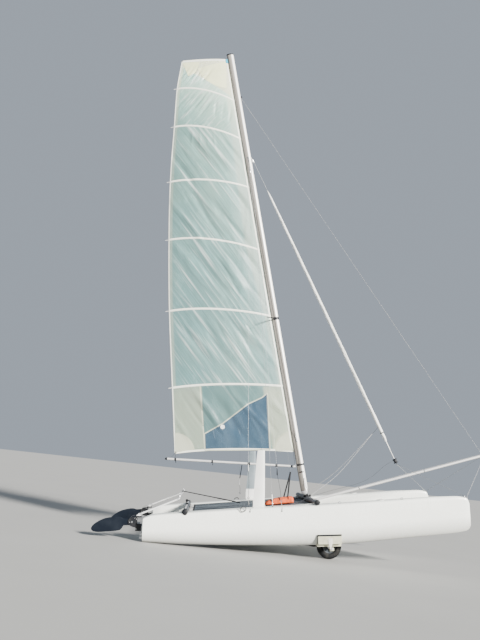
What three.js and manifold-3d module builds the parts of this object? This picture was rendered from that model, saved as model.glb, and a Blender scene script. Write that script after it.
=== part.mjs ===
// Sailing catamaran of about 5.5 m on its beach trolley, bows to +X, port side to +Y, millimetres, +Z up.
import * as THREE from "three";
import { mergeVertices } from "three/addons/utils/BufferGeometryUtils.js";
import Module from "manifold-3d";

const wasm = await Module();
wasm.setup();
const degrees = THREE.MathUtils.degToRad;

// Driving dimensions. The boat's own frame has x = 0 at the transoms' feet, z = 0 at the keels' aft ends.
const gap = 0.3;
const running = 5;
const snug = 0.5;
const parkedTrim = degrees(7);
const hullY = 1117.5;
const beamHalfLength = 1283;
const beamRadius = 42;
const frontBeam = { x: 2917, z: 579 };
const rearBeam = { x: 707, z: 462 };
const transomLean = 20;
const transomHeight = 375;

const mastFoot = { x: 2900, z: 648 };
const mastRake = degrees(8.1);
const mastLength = 9030;
const mastNose = 55;
const mastTail = -80;
const spreaderHeight = 3354;
const houndsHeight = 6700;
const boomPivot = -104;
const gooseneckHeight = 534;
const boomEnd = { x: -2486, z: 1051 };
const boomRadius = 21;
const luff = mastTail - 0.9;

const boardLean = degrees(1.4);
const boardFront = { x: 2043.7, z: 521 };
const boardChord = 197;
const boardThickness = 34;

const rudderAxisX = -42;
const rudderLean = Math.atan(transomLean / transomHeight);
const bladePivot = { x: -150, z: 310 };
const tillerEnd = { x: 617, z: 712 };
const crossbarZ = 745;
const stockFoot = 168;

const stayFoot = { x: 4640, z: 1165 };
const stayBowX = 5478;
const poleBowX = 5512;
const poleButt = { x: 2965, z: 522.8 };
const poleTip = { x: 6402.14, z: 1324.8 };
const poleRadius = 22;
const chainplate = { x: 2163, y: 1250, z: 516.4, top: 573 };

const wheelX = 3149;
const wheelY = 843;
const wheelRadius = 210;
const tyreWidth = 116;
const axleRadius = 21;

// Finishes
const gelcoat = { color: 0xe9e6df, roughness: 0.35, metalness: 0 };
const alloy = { color: 0xc9cbcc, roughness: 0.35, metalness: 0.9 };
const black = { color: 0x1b1c1f, roughness: 0.5, metalness: 0 };
const steel = { color: 0xb4b6b8, roughness: 0.3, metalness: 1 };
const cloth = { color: 0xc9d2c6, roughness: 0.6, metalness: 0 };
const mesh = { color: 0x63676b, roughness: 0.9, metalness: 0 };
const orange = { color: 0xd3622c, roughness: 0.8, metalness: 0 };
const rubber = { color: 0x202123, roughness: 0.9, metalness: 0 };
const plastic = { color: 0xd8d0bd, roughness: 0.6, metalness: 0 };
const film = { color: 0x9fb6c0, roughness: 0.1, metalness: 0, transparent: true, opacity: 0.4 };

const v = (x, y, z) => new THREE.Vector3(x, y, z);

// A closed surface from points and triangles, turned so that it faces out.
function closed(points, faces) {
  const volume = faces.reduce((sum, [a, b, c]) => sum + points[a].dot(points[b].clone().cross(points[c])), 0);
  const turned = volume < 0 ? faces.map(([a, b, c]) => [a, c, b]) : faces;
  const geometry = new THREE.BufferGeometry();
  geometry.setAttribute("position", new THREE.Float32BufferAttribute(points.flatMap((p) => p.toArray()), 3));
  geometry.setIndex(turned.flat());
  return geometry;
}

// A skin over rings of equally many points, with fans over the two ends.
function loft(rings) {
  const n = rings[0].length;
  const last = (rings.length - 1) * n;
  const faces = [];
  for (let start = 0; start < last; start += n) {
    for (let i = 0; i < n; i++) {
      const j = (i + 1) % n;
      faces.push([start + i, start + j, start + n + i], [start + j, start + n + j, start + n + i]);
    }
  }
  for (let i = 1; i + 1 < n; i++) {
    faces.push([0, i + 1, i], [last, last + i, last + i + 1]);
  }
  return closed(rings.flat(), faces);
}

// A thin sheet: a grid of points given half its thickness to each side.
function sheet(grid, half) {
  const rows = grid.length;
  const columns = grid[0].length;
  const count = rows * columns;
  const flat = grid.flat();
  const points = [...flat.map((p) => p.clone().add(half)), ...flat.map((p) => p.clone().sub(half))];
  const faces = [];
  for (let r = 0; r + 1 < rows; r++) {
    for (let c = 0; c + 1 < columns; c++) {
      const a = r * columns + c;
      faces.push([a, a + 1, a + columns], [a + 1, a + columns + 1, a + columns]);
      faces.push([a + count, a + columns + count, a + 1 + count]);
      faces.push([a + 1 + count, a + columns + count, a + columns + 1 + count]);
    }
  }
  const edge = [];
  for (let c = 0; c < columns; c++) edge.push(c);
  for (let r = 1; r < rows; r++) edge.push(r * columns + columns - 1);
  for (let c = columns - 2; c >= 0; c--) edge.push((rows - 1) * columns + c);
  for (let r = rows - 2; r > 0; r--) edge.push(r * columns);
  edge.forEach((a, i) => {
    const b = edge[(i + 1) % edge.length];
    faces.push([b, a, a + count], [b, a + count, b + count]);
  });
  return closed(points, faces);
}

function toSolid(geometry) {
  const bare = geometry.clone();
  bare.deleteAttribute("normal");
  bare.deleteAttribute("uv");
  const merged = mergeVertices(bare, 1e-3);
  const vertProperties = merged.attributes.position.array;
  const triVerts = new Uint32Array(merged.index.array);
  return new wasm.Manifold(new wasm.Mesh({ numProp: 3, vertProperties, triVerts }));
}

function toGeometry(solid) {
  const { vertProperties, triVerts } = solid.getMesh();
  const geometry = new THREE.BufferGeometry();
  geometry.setAttribute("position", new THREE.BufferAttribute(vertProperties, 3));
  geometry.setIndex(new THREE.BufferAttribute(triVerts, 1));
  return geometry;
}

const join = (...parts) => toGeometry(parts.map(toSolid).reduce((a, b) => a.add(b)));
const cut = (body, ...tools) => toGeometry(tools.map(toSolid).reduce((a, b) => a.subtract(b), toSolid(body)));
const overlap = (a, b) => toGeometry(toSolid(a).intersect(toSolid(b)));

// A straight round bar between two points.
function rod(from, to, radius, sides = 6) {
  const along = to.clone().sub(from);
  const geometry = new THREE.CylinderGeometry(radius, radius, along.length(), sides);
  geometry.applyQuaternion(new THREE.Quaternion().setFromUnitVectors(v(0, 1, 0), along.clone().normalize()));
  const middle = from.clone().add(to).multiplyScalar(0.5);
  return geometry.translate(middle.x, middle.y, middle.z);
}

function block(x0, x1, y0, y1, z0, z1) {
  return new THREE.BoxGeometry(x1 - x0, y1 - y0, z1 - z0).translate((x0 + x1) / 2, (y0 + y1) / 2, (z0 + z1) / 2);
}

function place(group, name, geometry, finish) {
  const piece = new THREE.Mesh(geometry, new THREE.MeshStandardMaterial({ ...finish, flatShading: true }));
  piece.name = name;
  group.add(piece);
  return piece;
}

// The value of a table's column at x, straight between its rows.
function between(table, x, column) {
  const next = Math.max(1, table.findIndex((row) => row.x >= x));
  const [a, b] = [table[next - 1], table[next]];
  return a[column] + ((b[column] - a[column]) * (x - a.x)) / (b.x - a.x);
}

const catamaran = new THREE.Group();
const boat = new THREE.Group();
boat.rotation.y = -parkedTrim;
catamaran.add(boat);

// Hulls: width, keel, deck edge and deck centreline heights, and how full the bilge is
const deckEdge = 0.94;
const widestAt = 0.72;
const stations = [
  { x: 0, halfBeam: 150, keel: 0, sheer: 372, crown: 385, fullness: 2.8 },
  { x: 180, halfBeam: 160, keel: -16, sheer: 420, crown: 437, fullness: 2.8 },
  { x: 700, halfBeam: 174, keel: -52, sheer: 442, crown: 464, fullness: 2.7 },
  { x: 1400, halfBeam: 181, keel: -82, sheer: 471, crown: 498, fullness: 2.6 },
  { x: 2100, halfBeam: 182, keel: -102, sheer: 494, crown: 525, fullness: 2.5 },
  { x: 2800, halfBeam: 178, keel: -112, sheer: 513, crown: 545, fullness: 2.3 },
  { x: 3400, halfBeam: 166, keel: -104, sheer: 532, crown: 568, fullness: 2.1 },
  { x: 4000, halfBeam: 140, keel: -66, sheer: 552, crown: 594, fullness: 1.9 },
  { x: 4500, halfBeam: 109, keel: -28, sheer: 569, crown: 617, fullness: 1.8 },
  { x: 5000, halfBeam: 72, keel: 8, sheer: 579, crown: 633, fullness: 1.7 },
  { x: 5300, halfBeam: 46, keel: 34, sheer: 578, crown: 634, fullness: 1.7 },
  { x: 5460, halfBeam: 28, keel: 62, sheer: 564, crown: 614, fullness: 1.7 },
  { x: 5520, halfBeam: 17, keel: 98, sheer: 538, crown: 585, fullness: 1.7 },
  { x: 5548, halfBeam: 8, keel: 150, sheer: 470, crown: 515, fullness: 1.8 },
];

function hullRing(station, grow) {
  const { x, halfBeam, keel, sheer, crown, fullness } = station;
  const widest = keel + widestAt * (sheer - keel);
  const half = [];
  for (const t of [0, 0.45, 0.8, 1]) {
    half.push([halfBeam * deckEdge * t, sheer + (crown - sheer) * Math.sqrt(1 - t * t)]);
  }
  const turns = 7;
  for (let i = 0; i <= turns; i++) {
    const angle = (Math.PI / 2) * (i / turns);
    const across = i === turns ? 0 : halfBeam * Math.cos(angle) ** (2 / fullness);
    half.push([across, widest - (widest - keel) * Math.sin(angle) ** (2 / fullness)]);
  }
  const mirrored = half.slice(1, -1).reverse().map(([y, z]) => [-y, z]);
  return [...half, ...mirrored].map(([y, z]) => {
    const lean = x === 0 ? (transomLean * z) / transomHeight : 0;
    const middle = (sheer + keel) / 2;
    return v(x + lean, y + grow * Math.sign(y), z + grow * Math.sign(z - middle));
  });
}

const hullShape = (grow = 0) => loft(stations.map((station) => hullRing(station, grow)));

// A foil section: chord from the leading edge at 0 back to -chord, thickness across
function foilRing(chord, thickness, lead, height) {
  const stops = [0.02, 0.09, 0.22, 0.42, 0.68, 0.9];
  const half = (u) => 5 * thickness * (0.2969 * Math.sqrt(u) - 0.126 * u - 0.3516 * u ** 2 + 0.2843 * u ** 3 - 0.1015 * u ** 4);
  const side = (sign) => stops.map((u) => v(lead - u * chord, sign * half(u), height));
  return [v(lead, 0, height), ...side(1), v(lead - chord, 0, height), ...side(-1).reverse()];
}

// Daggerboards, drawn raised, from the foot flush with the keel to the head
const boardRows = [
  { height: -612, chord: 120, lead: -40, thickness: 16 },
  { height: -590, chord: 168, lead: -14, thickness: 26 },
  { height: -500, chord: boardChord, lead: 0, thickness: boardThickness },
  { height: 110, chord: boardChord, lead: 0, thickness: boardThickness },
  { height: 210, chord: 187, lead: 0, thickness: 33 },
  { height: 480, chord: 163, lead: 0, thickness: 30 },
  { height: 932, chord: 120, lead: 0, thickness: 24 },
];

function slotRing(height, clearance) {
  const flat = boardThickness / 2 + clearance;
  const long = boardChord / 2 + clearance - flat;
  const steps = 6;
  const ring = [];
  for (const end of [1, -1]) {
    for (let i = 0; i <= steps; i++) {
      const a = Math.PI * (i / steps - 0.5);
      ring.push([end * (long + flat * Math.cos(a)), end * flat * Math.sin(a)]);
    }
  }
  return ring.map(([x, y]) => v(x - boardChord / 2, y, height));
}

function boatGroup(x, y, z, turn) {
  const group = new THREE.Group();
  group.position.set(x, y, z);
  group.rotation.y = turn;
  boat.add(group);
  return group;
}

// The two sides, each with its raised blade's angle below the level of its own frame
const sides = [
  { name: "starboard", sign: -1, droop: degrees(5.7) },
  { name: "port", sign: 1, droop: degrees(11) },
];

const beamCut = (beam) => rod(v(beam.x, -2000, beam.z), v(beam.x, 2000, beam.z), beamRadius + 0.5, 16);
const beamBar = (beam) => {
  return rod(v(beam.x, -beamHalfLength, beam.z), v(beam.x, beamHalfLength, beam.z), beamRadius, 16);
};

for (const { name, sign } of sides) {
  const boardGroup = boatGroup(boardFront.x, sign * hullY, boardFront.z, boardLean);
  boardGroup.updateMatrix();
  const trunk = loft([slotRing(-900, running), slotRing(-45, running)]).applyMatrix4(boardGroup.matrix);
  const lip = loft([slotRing(-55, snug), slotRing(300, snug)]).applyMatrix4(boardGroup.matrix);
  const hull = hullShape().translate(0, sign * hullY, 0);
  place(boat, `hull_${name}`, cut(hull, trunk, lip, beamCut(frontBeam), beamCut(rearBeam)), gelcoat);
  const board = loft(boardRows.map((row) => foilRing(row.chord, row.thickness, row.lead, row.height)));
  place(boardGroup, `daggerboard_${name}`, board, gelcoat);
}

// Cross beams, the striker under the front one, the traveller on the rear one
place(boat, "front_beam", beamBar(frontBeam), alloy);
place(boat, "rear_beam", beamBar(rearBeam), alloy);

const strikerFoot = v(frontBeam.x, 0, 405);
const strikerEnd = (sign) => v(frontBeam.x, sign * 860, frontBeam.z - beamRadius - 6.6);
const strikerPost = rod(strikerFoot, v(frontBeam.x, 0, frontBeam.z - beamRadius - gap), 8, 8);
place(boat, "dolphin_striker_post", strikerPost, steel);
for (const { name, sign } of sides) {
  const start = strikerFoot.clone().lerp(strikerEnd(sign), 9 / 860);
  place(boat, `dolphin_striker_rod_${name}`, rod(start, strikerEnd(sign), 6), steel);
}

const trackTop = rearBeam.z + beamRadius + 8.5;
place(boat, "traveller_track", block(rearBeam.x - 12, rearBeam.x + 12, -860, 860, trackTop - 8, trackTop), black);
place(boat, "traveller_car", block(rearBeam.x - 24, rearBeam.x + 24, -45, 45, trackTop + gap, trackTop + 24), steel);

// Trampoline between the beams, its edges along the hulls' inner sides
const trampolineAft = { x: rearBeam.x + beamRadius + 55, z: rearBeam.z - 18 };
const trampolineFront = {
  x: frontBeam.x - beamRadius * Math.SQRT1_2 - gap,
  z: frontBeam.z - beamRadius * Math.SQRT1_2 - 3,
};
const trampolineRise = (trampolineFront.z - trampolineAft.z) / (trampolineFront.x - trampolineAft.x);
const trampolineZ = (x) => trampolineAft.z + trampolineRise * (x - trampolineAft.x);
const trampolineGrid = [];
for (let i = 0; i <= 8; i++) {
  const x = trampolineAft.x + ((trampolineFront.x - trampolineAft.x) * i) / 8;
  const edge = hullY - deckEdge * between(stations, x, "halfBeam") - 3;
  trampolineGrid.push([-1, -0.5, 0, 0.5, 1].map((t) => v(x, t * edge, trampolineZ(x))));
}
place(boat, "trampoline", sheet(trampolineGrid, v(0, 0, 3)), mesh);

// Spinnaker bag on the trampoline, starboard of the middle
const bagRows = [
  { x: 2086, half: 112, height: 48 },
  { x: 2150, half: 140, height: 78 },
  { x: 2240, half: 150, height: 102 },
  { x: 2400, half: 152, height: 124 },
  { x: 2550, half: 150, height: 127 },
  { x: 2584, half: 128, height: 106 },
];
const bagY = -600;
const bag = loft(
  bagRows.map(({ x, half, height }) => {
    const foot = trampolineZ(x) + 3 + gap;
    const outline = [[-0.94, 0], [-1, 0.3], [-0.92, 0.8], [-0.6, 1], [0.6, 1], [0.92, 0.8], [1, 0.3], [0.94, 0]];
    return outline.map(([y, z]) => v(x, bagY + y * half, foot + z * height));
  }),
);
place(boat, "spinnaker_bag", bag, orange);

// Spinnaker pole in its socket on the front beam, with its bridle to the bows
const poleAt = (x) => v(x, 0, poleButt.z + ((poleTip.z - poleButt.z) * (x - poleButt.x)) / (poleTip.x - poleButt.x));
const poleBar = (from, to, radius) => rod(poleAt(from), poleAt(to), radius, 12);
const socket = block(frontBeam.x + 10, poleButt.x + 30, -20, 20, 500, 556);
const ringX = 6320;
const ring = poleBar(ringX - 14, ringX + 14, poleRadius + 3);
const pole = cut(join(poleBar(poleButt.x, poleTip.x, poleRadius), ring, socket), beamCut(frontBeam));
place(boat, "spinnaker_pole", pole, alloy);

const crownAt = (x) => between(stations, x, "crown");
const tang = (x, sign) => {
  const foot = crownAt(x - 10) + 1;
  return block(x - 10, x + 10, sign * hullY - 3, sign * hullY + 3, foot, crownAt(x) + 26);
};
const tangEye = (x, sign) => v(x, sign * hullY, crownAt(x) + 20);
for (const { name, sign } of sides) {
  const wire = rod(poleAt(ringX).add(v(0, sign * (poleRadius + 6.6), 0)), tangEye(poleBowX, sign), 3);
  place(boat, `pole_bridle_${name}`, join(wire, tang(poleBowX, sign)), steel);
}

// Mast, turning on a ball on the front beam
const mastGroup = boatGroup(mastFoot.x, 0, mastFoot.z, -mastRake);
mastGroup.updateMatrix();
const mastToBoat = (x, y, z) => v(x, y, z).applyMatrix4(mastGroup.matrix);
const mastHalf = [
  [mastNose, 0],
  [46, 18],
  [25, 31],
  [-5, 35],
  [-40, 30],
  [-66, 18],
  [mastTail, 8],
];
function mastRing(height, scale = 1) {
  const ring = [...mastHalf, ...mastHalf.slice(1).reverse().map(([x, y]) => [x, -y])];
  return ring.map(([x, y]) => v(x * scale, y * scale, height));
}
const houndsTang = block(mastNose - 8, mastNose + 7, -6, 6, houndsHeight - 15, houndsHeight + 15);
const baseHeight = 70;
place(mastGroup, "mast", join(loft([mastRing(baseHeight + gap), mastRing(mastLength)]), houndsTang), alloy);
place(mastGroup, "mast_base", loft([mastRing(gap, 0.55), mastRing(30, 0.9), mastRing(baseHeight, 1)]), black);
place(mastGroup, "mast_head", loft([mastRing(mastLength + gap, 1.08), mastRing(mastLength + 24, 1.08)]), black);

const stepPlate = block(mastFoot.x - 50, mastFoot.x + 60, -45, 45, 600, 626);
const stepBall = rod(mastToBoat(0, 0, -40), mastToBoat(0, 0, 0), 14, 10);
place(boat, "mast_step", cut(join(stepPlate, stepBall), beamCut(frontBeam)), steel);

// Spreaders and their diamond wires
const spreaderTip = { x: -190, y: 290 };
const collar = cut(
  block(-45, mastNose + 9, -44, 44, spreaderHeight - 30, spreaderHeight + 30),
  loft([mastRing(spreaderHeight - 80, 1.012), mastRing(spreaderHeight + 80, 1.012)]),
);
const arm = (sign) => rod(v(-15, sign * 40, spreaderHeight), v(spreaderTip.x, sign * spreaderTip.y, spreaderHeight), 9, 8);
place(mastGroup, "spreaders", join(collar, arm(1), arm(-1)), black);

for (const { name, sign } of sides) {
  const tip = v(spreaderTip.x - 4, sign * (spreaderTip.y + 14), spreaderHeight);
  const low = v(-5, sign * 38.6, 980);
  const high = v(-5, sign * 38.6, 6480);
  const below = tip.clone().setZ(spreaderHeight - 3);
  const above = tip.clone().setZ(spreaderHeight + 3);
  place(mastGroup, `diamond_wire_lower_${name}`, rod(low, below, 3), steel);
  place(mastGroup, `diamond_wire_upper_${name}`, rod(above, high, 3), steel);
}

// Shrouds from the hounds to their chainplates on the decks
for (const { name, sign } of sides) {
  const top = mastToBoat(mastNose + 25, sign * 12, houndsHeight - 10);
  const plate = block(chainplate.x - 13, chainplate.x + 13, sign * chainplate.y - 3, sign * chainplate.y + 3, chainplate.z, chainplate.top);
  const shroud = join(rod(v(chainplate.x, sign * chainplate.y, chainplate.top - 10), top, 3), plate);
  place(boat, `shroud_${name}`, shroud, steel);
}

// Forestay: bridle, furling drum and the rolled jib
const stayTop = mastToBoat(mastNose + 21, 0, houndsHeight);
const stayStart = v(stayFoot.x, 0, stayFoot.z);
const stemReach = 10.8;
const stayDirection = stayTop.clone().sub(stayStart).normalize();
const stayAt = (distance) => stayStart.clone().addScaledVector(stayDirection, distance);
for (const { name, sign } of sides) {
  const eye = tangEye(stayBowX, sign);
  const wire = rod(stayStart.clone().lerp(eye, stemReach / eye.distanceTo(stayStart)), eye, 3);
  place(boat, `forestay_bridle_${name}`, join(wire, tang(stayBowX, sign)), steel);
}

const stayTurn = new THREE.Quaternion().setFromUnitVectors(v(0, 1, 0), stayDirection);
function onStay(profile, segments) {
  const shape = new THREE.LatheGeometry(profile.map(([r, s]) => new THREE.Vector2(r, s)), segments);
  return shape.applyQuaternion(stayTurn).translate(stayStart.x, stayStart.y, stayStart.z);
}
const drumProfile = [[0, -8], [7, -8], [7, 30], [45, 30], [45, 40], [30, 46], [30, 90], [45, 96], [45, 106], [0, 106]];
place(boat, "furler_drum", onStay(drumProfile, 16), black);
const stayLength = stayTop.distanceTo(stayStart);
const rollProfile = [
  [0, 106 + gap],
  [5, 106 + gap],
  [5, 455],
  [18, 467],
  [29, 560],
  [32, 1300],
  [31, 3000],
  [27, 4600],
  [20, 5700],
  [12, 5850],
  [5, 5870],
  [5, stayLength],
  [0, stayLength],
];
place(boat, "furled_jib", onStay(rollProfile, 10), cloth);

// Boom on its gooseneck; it swings about a line along the mast's back edge
const lug = (z) => block(boomPivot - 10, mastTail - gap, -13, 13, z - 4, z + 4);
const lugPin = rod(v(boomPivot, 0, gooseneckHeight - 32), v(boomPivot, 0, gooseneckHeight + 32), 4, 8);
const lugBack = block(mastTail - 6, mastTail - gap, -13, 13, gooseneckHeight - 28, gooseneckHeight + 28);
const gooseneck = join(lug(gooseneckHeight - 24), lug(gooseneckHeight + 24), lugPin, lugBack);
place(mastGroup, "gooseneck", gooseneck, steel);
const boomStart = v(boomPivot - 34, 0, gooseneckHeight + 2);
const toggle = block(boomPivot - 40, boomPivot + 9, -9, 9, gooseneckHeight - 14, gooseneckHeight + 14);
const pinHole = rod(v(boomPivot, 0, gooseneckHeight - 50), v(boomPivot, 0, gooseneckHeight + 50), 4.7, 8);
const boomTube = rod(boomStart, v(boomEnd.x, 0, boomEnd.z), boomRadius, 12);
place(mastGroup, "boom", cut(join(boomTube, toggle), pinHole), alloy);

// Mainsail: each row runs from the luff to the leech, rising in a curve, bowed to starboard by its camber
const sailRows = [
  { luffZ: 800, leechX: -2289, leechZ: 1114, camber: 15 },
  { luffZ: 2043, leechX: -2170, leechZ: 2328, camber: 70 },
  { luffZ: 3417, leechX: -2022, leechZ: 3805, camber: 110 },
  { luffZ: 4760, leechX: -1834, leechZ: 5224, camber: 120 },
  { luffZ: 6085, leechX: -1640, leechZ: 6420, camber: 115 },
  { luffZ: 7140, leechX: -1395, leechZ: 7587, camber: 95 },
  { luffZ: 7994, leechX: -1218, leechZ: 8416, camber: 70 },
  { luffZ: 8520, leechX: -1103, leechZ: 8788, camber: 50 },
  { luffZ: 8930, leechX: -1030, leechZ: 9015, camber: 35 },
];
const rise = (u) => 1 - (1 - u) ** 1.6;
const bow = (u) => 4 * u ** 0.8 * (1 - u) * 0.95;
const sailColumns = 10;
function sailRow({ luffZ, leechX, leechZ, camber }, lift = 0) {
  return Array.from({ length: sailColumns + 1 }, (_, i) => {
    const u = i / sailColumns;
    const x = luff + (leechX - luff) * u;
    return v(x, -camber * bow(u), luffZ + (leechZ - luffZ) * rise(u) + lift);
  });
}
const blend = (a, b, t) => Object.fromEntries(Object.keys(a).map((key) => [key, a[key] + (b[key] - a[key]) * t]));
const fineRows = sailRows.flatMap((row, i) => (i ? [blend(sailRows[i - 1], row, 0.5), row] : [row]));
const sailGrid = fineRows.map((row) => sailRow(row));
const sailBody = sheet(sailGrid, v(0, 3, 0));
const battens = sailRows.slice(1, 7).map((row) => sheet([sailRow(row, -18), sailRow(row, 18)], v(0, 5, 0)));
const windowOutline = [
  [-1725, 1085],
  [-1680, 1493],
  [-1325, 1588],
  [-794, 1808],
  [-516, 1861],
  [-400, 1930],
  [-520, 905],
];
function windowPrism(grow) {
  const middle = windowOutline.reduce(([sx, sz], [x, z]) => [sx + x / 7, sz + z / 7], [0, 0]);
  const corners = windowOutline.map(([x, z]) => {
    const reach = Math.hypot(x - middle[0], z - middle[1]);
    const scale = (reach + grow) / reach;
    return [middle[0] + (x - middle[0]) * scale, middle[1] + (z - middle[1]) * scale];
  });
  return loft([-200, 200].map((y) => corners.map(([x, z]) => v(x, y, z))));
}
place(mastGroup, "mainsail", cut(join(sailBody, ...battens), windowPrism(0)), cloth);
place(mastGroup, "sail_window", overlap(sheet(sailGrid, v(0, 1, 0)), windowPrism(-0.8)), film);

// Rudders, drawn kicked up; each turns about its pin along the transom
const bladeRows = [
  { span: -45, lead: 22, trail: 22, thickness: 18 },
  { span: -22, lead: 42, trail: 42, thickness: 20 },
  { span: 0, lead: 46, trail: 50, thickness: 20 },
  { span: 140, lead: 48, trail: 66, thickness: 20 },
  { span: 168, lead: 86, trail: 82, thickness: 21 },
  { span: 200, lead: 114, trail: 94, thickness: 22 },
  { span: 260, lead: 124, trail: 101, thickness: 22 },
  { span: 340, lead: 127, trail: 100, thickness: 21 },
  { span: 430, lead: 127, trail: 91, thickness: 19 },
  { span: 510, lead: 126, trail: 68, thickness: 17 },
  { span: 580, lead: 122, trail: 37, thickness: 14 },
  { span: 630, lead: 112, trail: 6, thickness: 11 },
  { span: 660, lead: 96, trail: -23, thickness: 9 },
  { span: 676, lead: 74, trail: -48, thickness: 6 },
];
const blade = (droop) => {
  const rings = bladeRows.map(({ span, lead, trail, thickness }) => {
    return foilRing(lead + trail, thickness, lead, -span);
  });
  return loft(rings).rotateY(Math.PI / 2 - droop);
};

for (const { name, sign, droop } of sides) {
  const group = boatGroup(rudderAxisX, sign * hullY, 0, rudderLean);
  const transom = -rudderAxisX - gap - 0.2;
  const pinTop = 326;
  const eye = (z) => block(-13, transom - 4, -13, 13, z - 10, z + 10);
  const eyeHole = rod(v(0, 0, 50), v(0, 0, 400), 5.8, 8);
  const plate = block(transom - 8, transom, -22, 22, 90, 330);
  place(group, `gudgeons_${name}`, cut(join(eye(120), eye(300), plate), eyeHole), steel);

  const pin = rod(v(0, 0, 102), v(0, 0, pinTop), 5, 8);
  const stock = block(-85, 8, -13, 13, stockFoot, 284);
  const spine = block(-88, -64, -20, 20, stockFoot, 412);
  const top = block(-88, 2, -15, 15, 386, 412);
  const cheek = (y) => block(-215, -64, y, y + 7, 225, 392);
  const stockBody = join(pin, stock, spine, top, cheek(13), cheek(-20));
  const pivotPin = rod(v(bladePivot.x, -22, bladePivot.z), v(bladePivot.x, 22, bladePivot.z), 6, 8);
  place(group, `rudder_stock_${name}`, join(stockBody, pivotPin), black);

  const bladeHole = rod(v(0, -30, 0), v(0, 30, 0), 6.8, 8);
  const piece = place(group, `rudder_blade_${name}`, cut(blade(droop), bladeHole), black);
  piece.position.set(bladePivot.x, 0, bladePivot.z);

  const end = v(tillerEnd.x, 0, tillerEnd.z);
  const saddle = block(-80, -8, -13, 13, 412 + gap, 424);
  const tube = rod(v(-60, 0, 412 + 14), end, 13, 8);
  const under = block(-200, 30, -40, 40, 300, 412 + gap);
  const stud = rod(end, end.clone().setZ(crossbarZ + 18), 5, 8);
  place(group, `tiller_${name}`, cut(join(saddle, tube, stud), under), alloy);
}

const linkGroup = boatGroup(rudderAxisX, 0, 0, rudderLean);
const link = (y) => v(tillerEnd.x, y, crossbarZ);
const linkEye = (y) => rod(v(tillerEnd.x, y, crossbarZ - 13), v(tillerEnd.x, y, crossbarZ + 13), 17, 12);
const linkHole = (y) => rod(v(tillerEnd.x, y, crossbarZ - 40), v(tillerEnd.x, y, crossbarZ + 40), 5.8, 8);
const bar = join(rod(link(-hullY), link(hullY), 12, 10), linkEye(-hullY), linkEye(hullY));
place(linkGroup, "tiller_crossbar", cut(bar, linkHole(-hullY), linkHole(hullY)), alloy);
const swivel = v(tillerEnd.x, 250, crossbarZ + 28);
const swivelBlock = block(swivel.x - 11, swivel.x + 11, swivel.y - 11, swivel.y + 11, crossbarZ + 12.3, swivel.z + 8);
linkGroup.updateMatrix();
const extensionTip = v(1640, -900, 580).applyMatrix4(linkGroup.matrix.clone().invert());
const extension = join(swivelBlock, rod(swivel, extensionTip, 10, 8));
place(linkGroup, "tiller_extension", extension, black);

// Beach trolley: axle, two wheels inboard of the hulls, a chock under each keel that leans with the boat
const trolley = new THREE.Group();
catamaran.add(trolley);
const axleZ = wheelRadius;
const wheelHubHalf = 62;
const collarAt = (y) => rod(v(wheelX, y - 6, axleZ), v(wheelX, y + 6, axleZ), 32, 12);
const collars = [-1, 1].flatMap((s) => [-1, 1].map((t) => s * wheelY + t * (wheelHubHalf + 11)));
const axle = join(rod(v(wheelX, -1190, axleZ), v(wheelX, 1190, axleZ), axleRadius, 24), ...collars.map(collarAt));
place(trolley, "trolley_axle", axle, alloy);

for (const { name, sign } of sides) {
  const y = sign * hullY;
  const { x: axleX, z: axleLow } = v(wheelX, 0, axleZ).applyAxisAngle(v(0, 1, 0), parkedTrim);
  const chock = block(2897, 3297, y - 165, y + 165, -88, 62);
  const pad = block(2897, 3297, y - 100, y + 100, -132, -80);
  const clamp = block(axleX - 35, axleX + 35, y - 24, y + 24, axleLow - 38, -100);
  const axleHole = rod(v(axleX, -1300, axleLow), v(axleX, 1300, axleLow), axleRadius + 0.5, 24);
  const seat = hullShape(0.8).translate(0, y, 0);
  place(boat, `cradle_${name}`, cut(join(chock, pad, clamp), axleHole, seat), plastic);

  const tyreProfile = [
    [112, -36],
    [150, -tyreWidth / 2],
    [190, -48],
    [wheelRadius, -26],
    [wheelRadius, 26],
    [190, 48],
    [150, tyreWidth / 2],
    [112, 36],
  ];
  const segments = 24;
  const flat = 1 / Math.cos(Math.PI / segments);
  const wheelLathe = (profile) => {
    const points = [...profile, profile[0]].map(([r, s]) => new THREE.Vector2(r * flat, s));
    return new THREE.LatheGeometry(points, segments, Math.PI / segments);
  };
  const bore = axleRadius + 0.5;
  const rimProfile = [
    [bore, -wheelHubHalf],
    [40, -wheelHubHalf],
    [46, -16],
    [100, -12],
    [111.6, -44],
    [111.6, 44],
    [100, 12],
    [46, 16],
    [40, wheelHubHalf],
    [bore, wheelHubHalf],
  ];
  const wheel = new THREE.Group();
  wheel.position.set(wheelX, sign * wheelY, axleZ);
  trolley.add(wheel);
  place(wheel, `wheel_${name}_tyre`, wheelLathe(tyreProfile), rubber);
  place(wheel, `wheel_${name}_rim`, wheelLathe(rimProfile), plastic);
}

// The origin is on the ground under the middle of the whole length.
catamaran.updateMatrixWorld(true);
const extent = new THREE.Box3().setFromObject(catamaran, true);
const shift = (extent.min.x + extent.max.x) / 2;
boat.position.x -= shift;
trolley.position.x -= shift;

export default catamaran;
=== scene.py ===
import math

import bmesh
import bpy
import numpy as np
from mathutils import Matrix, Vector


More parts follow.
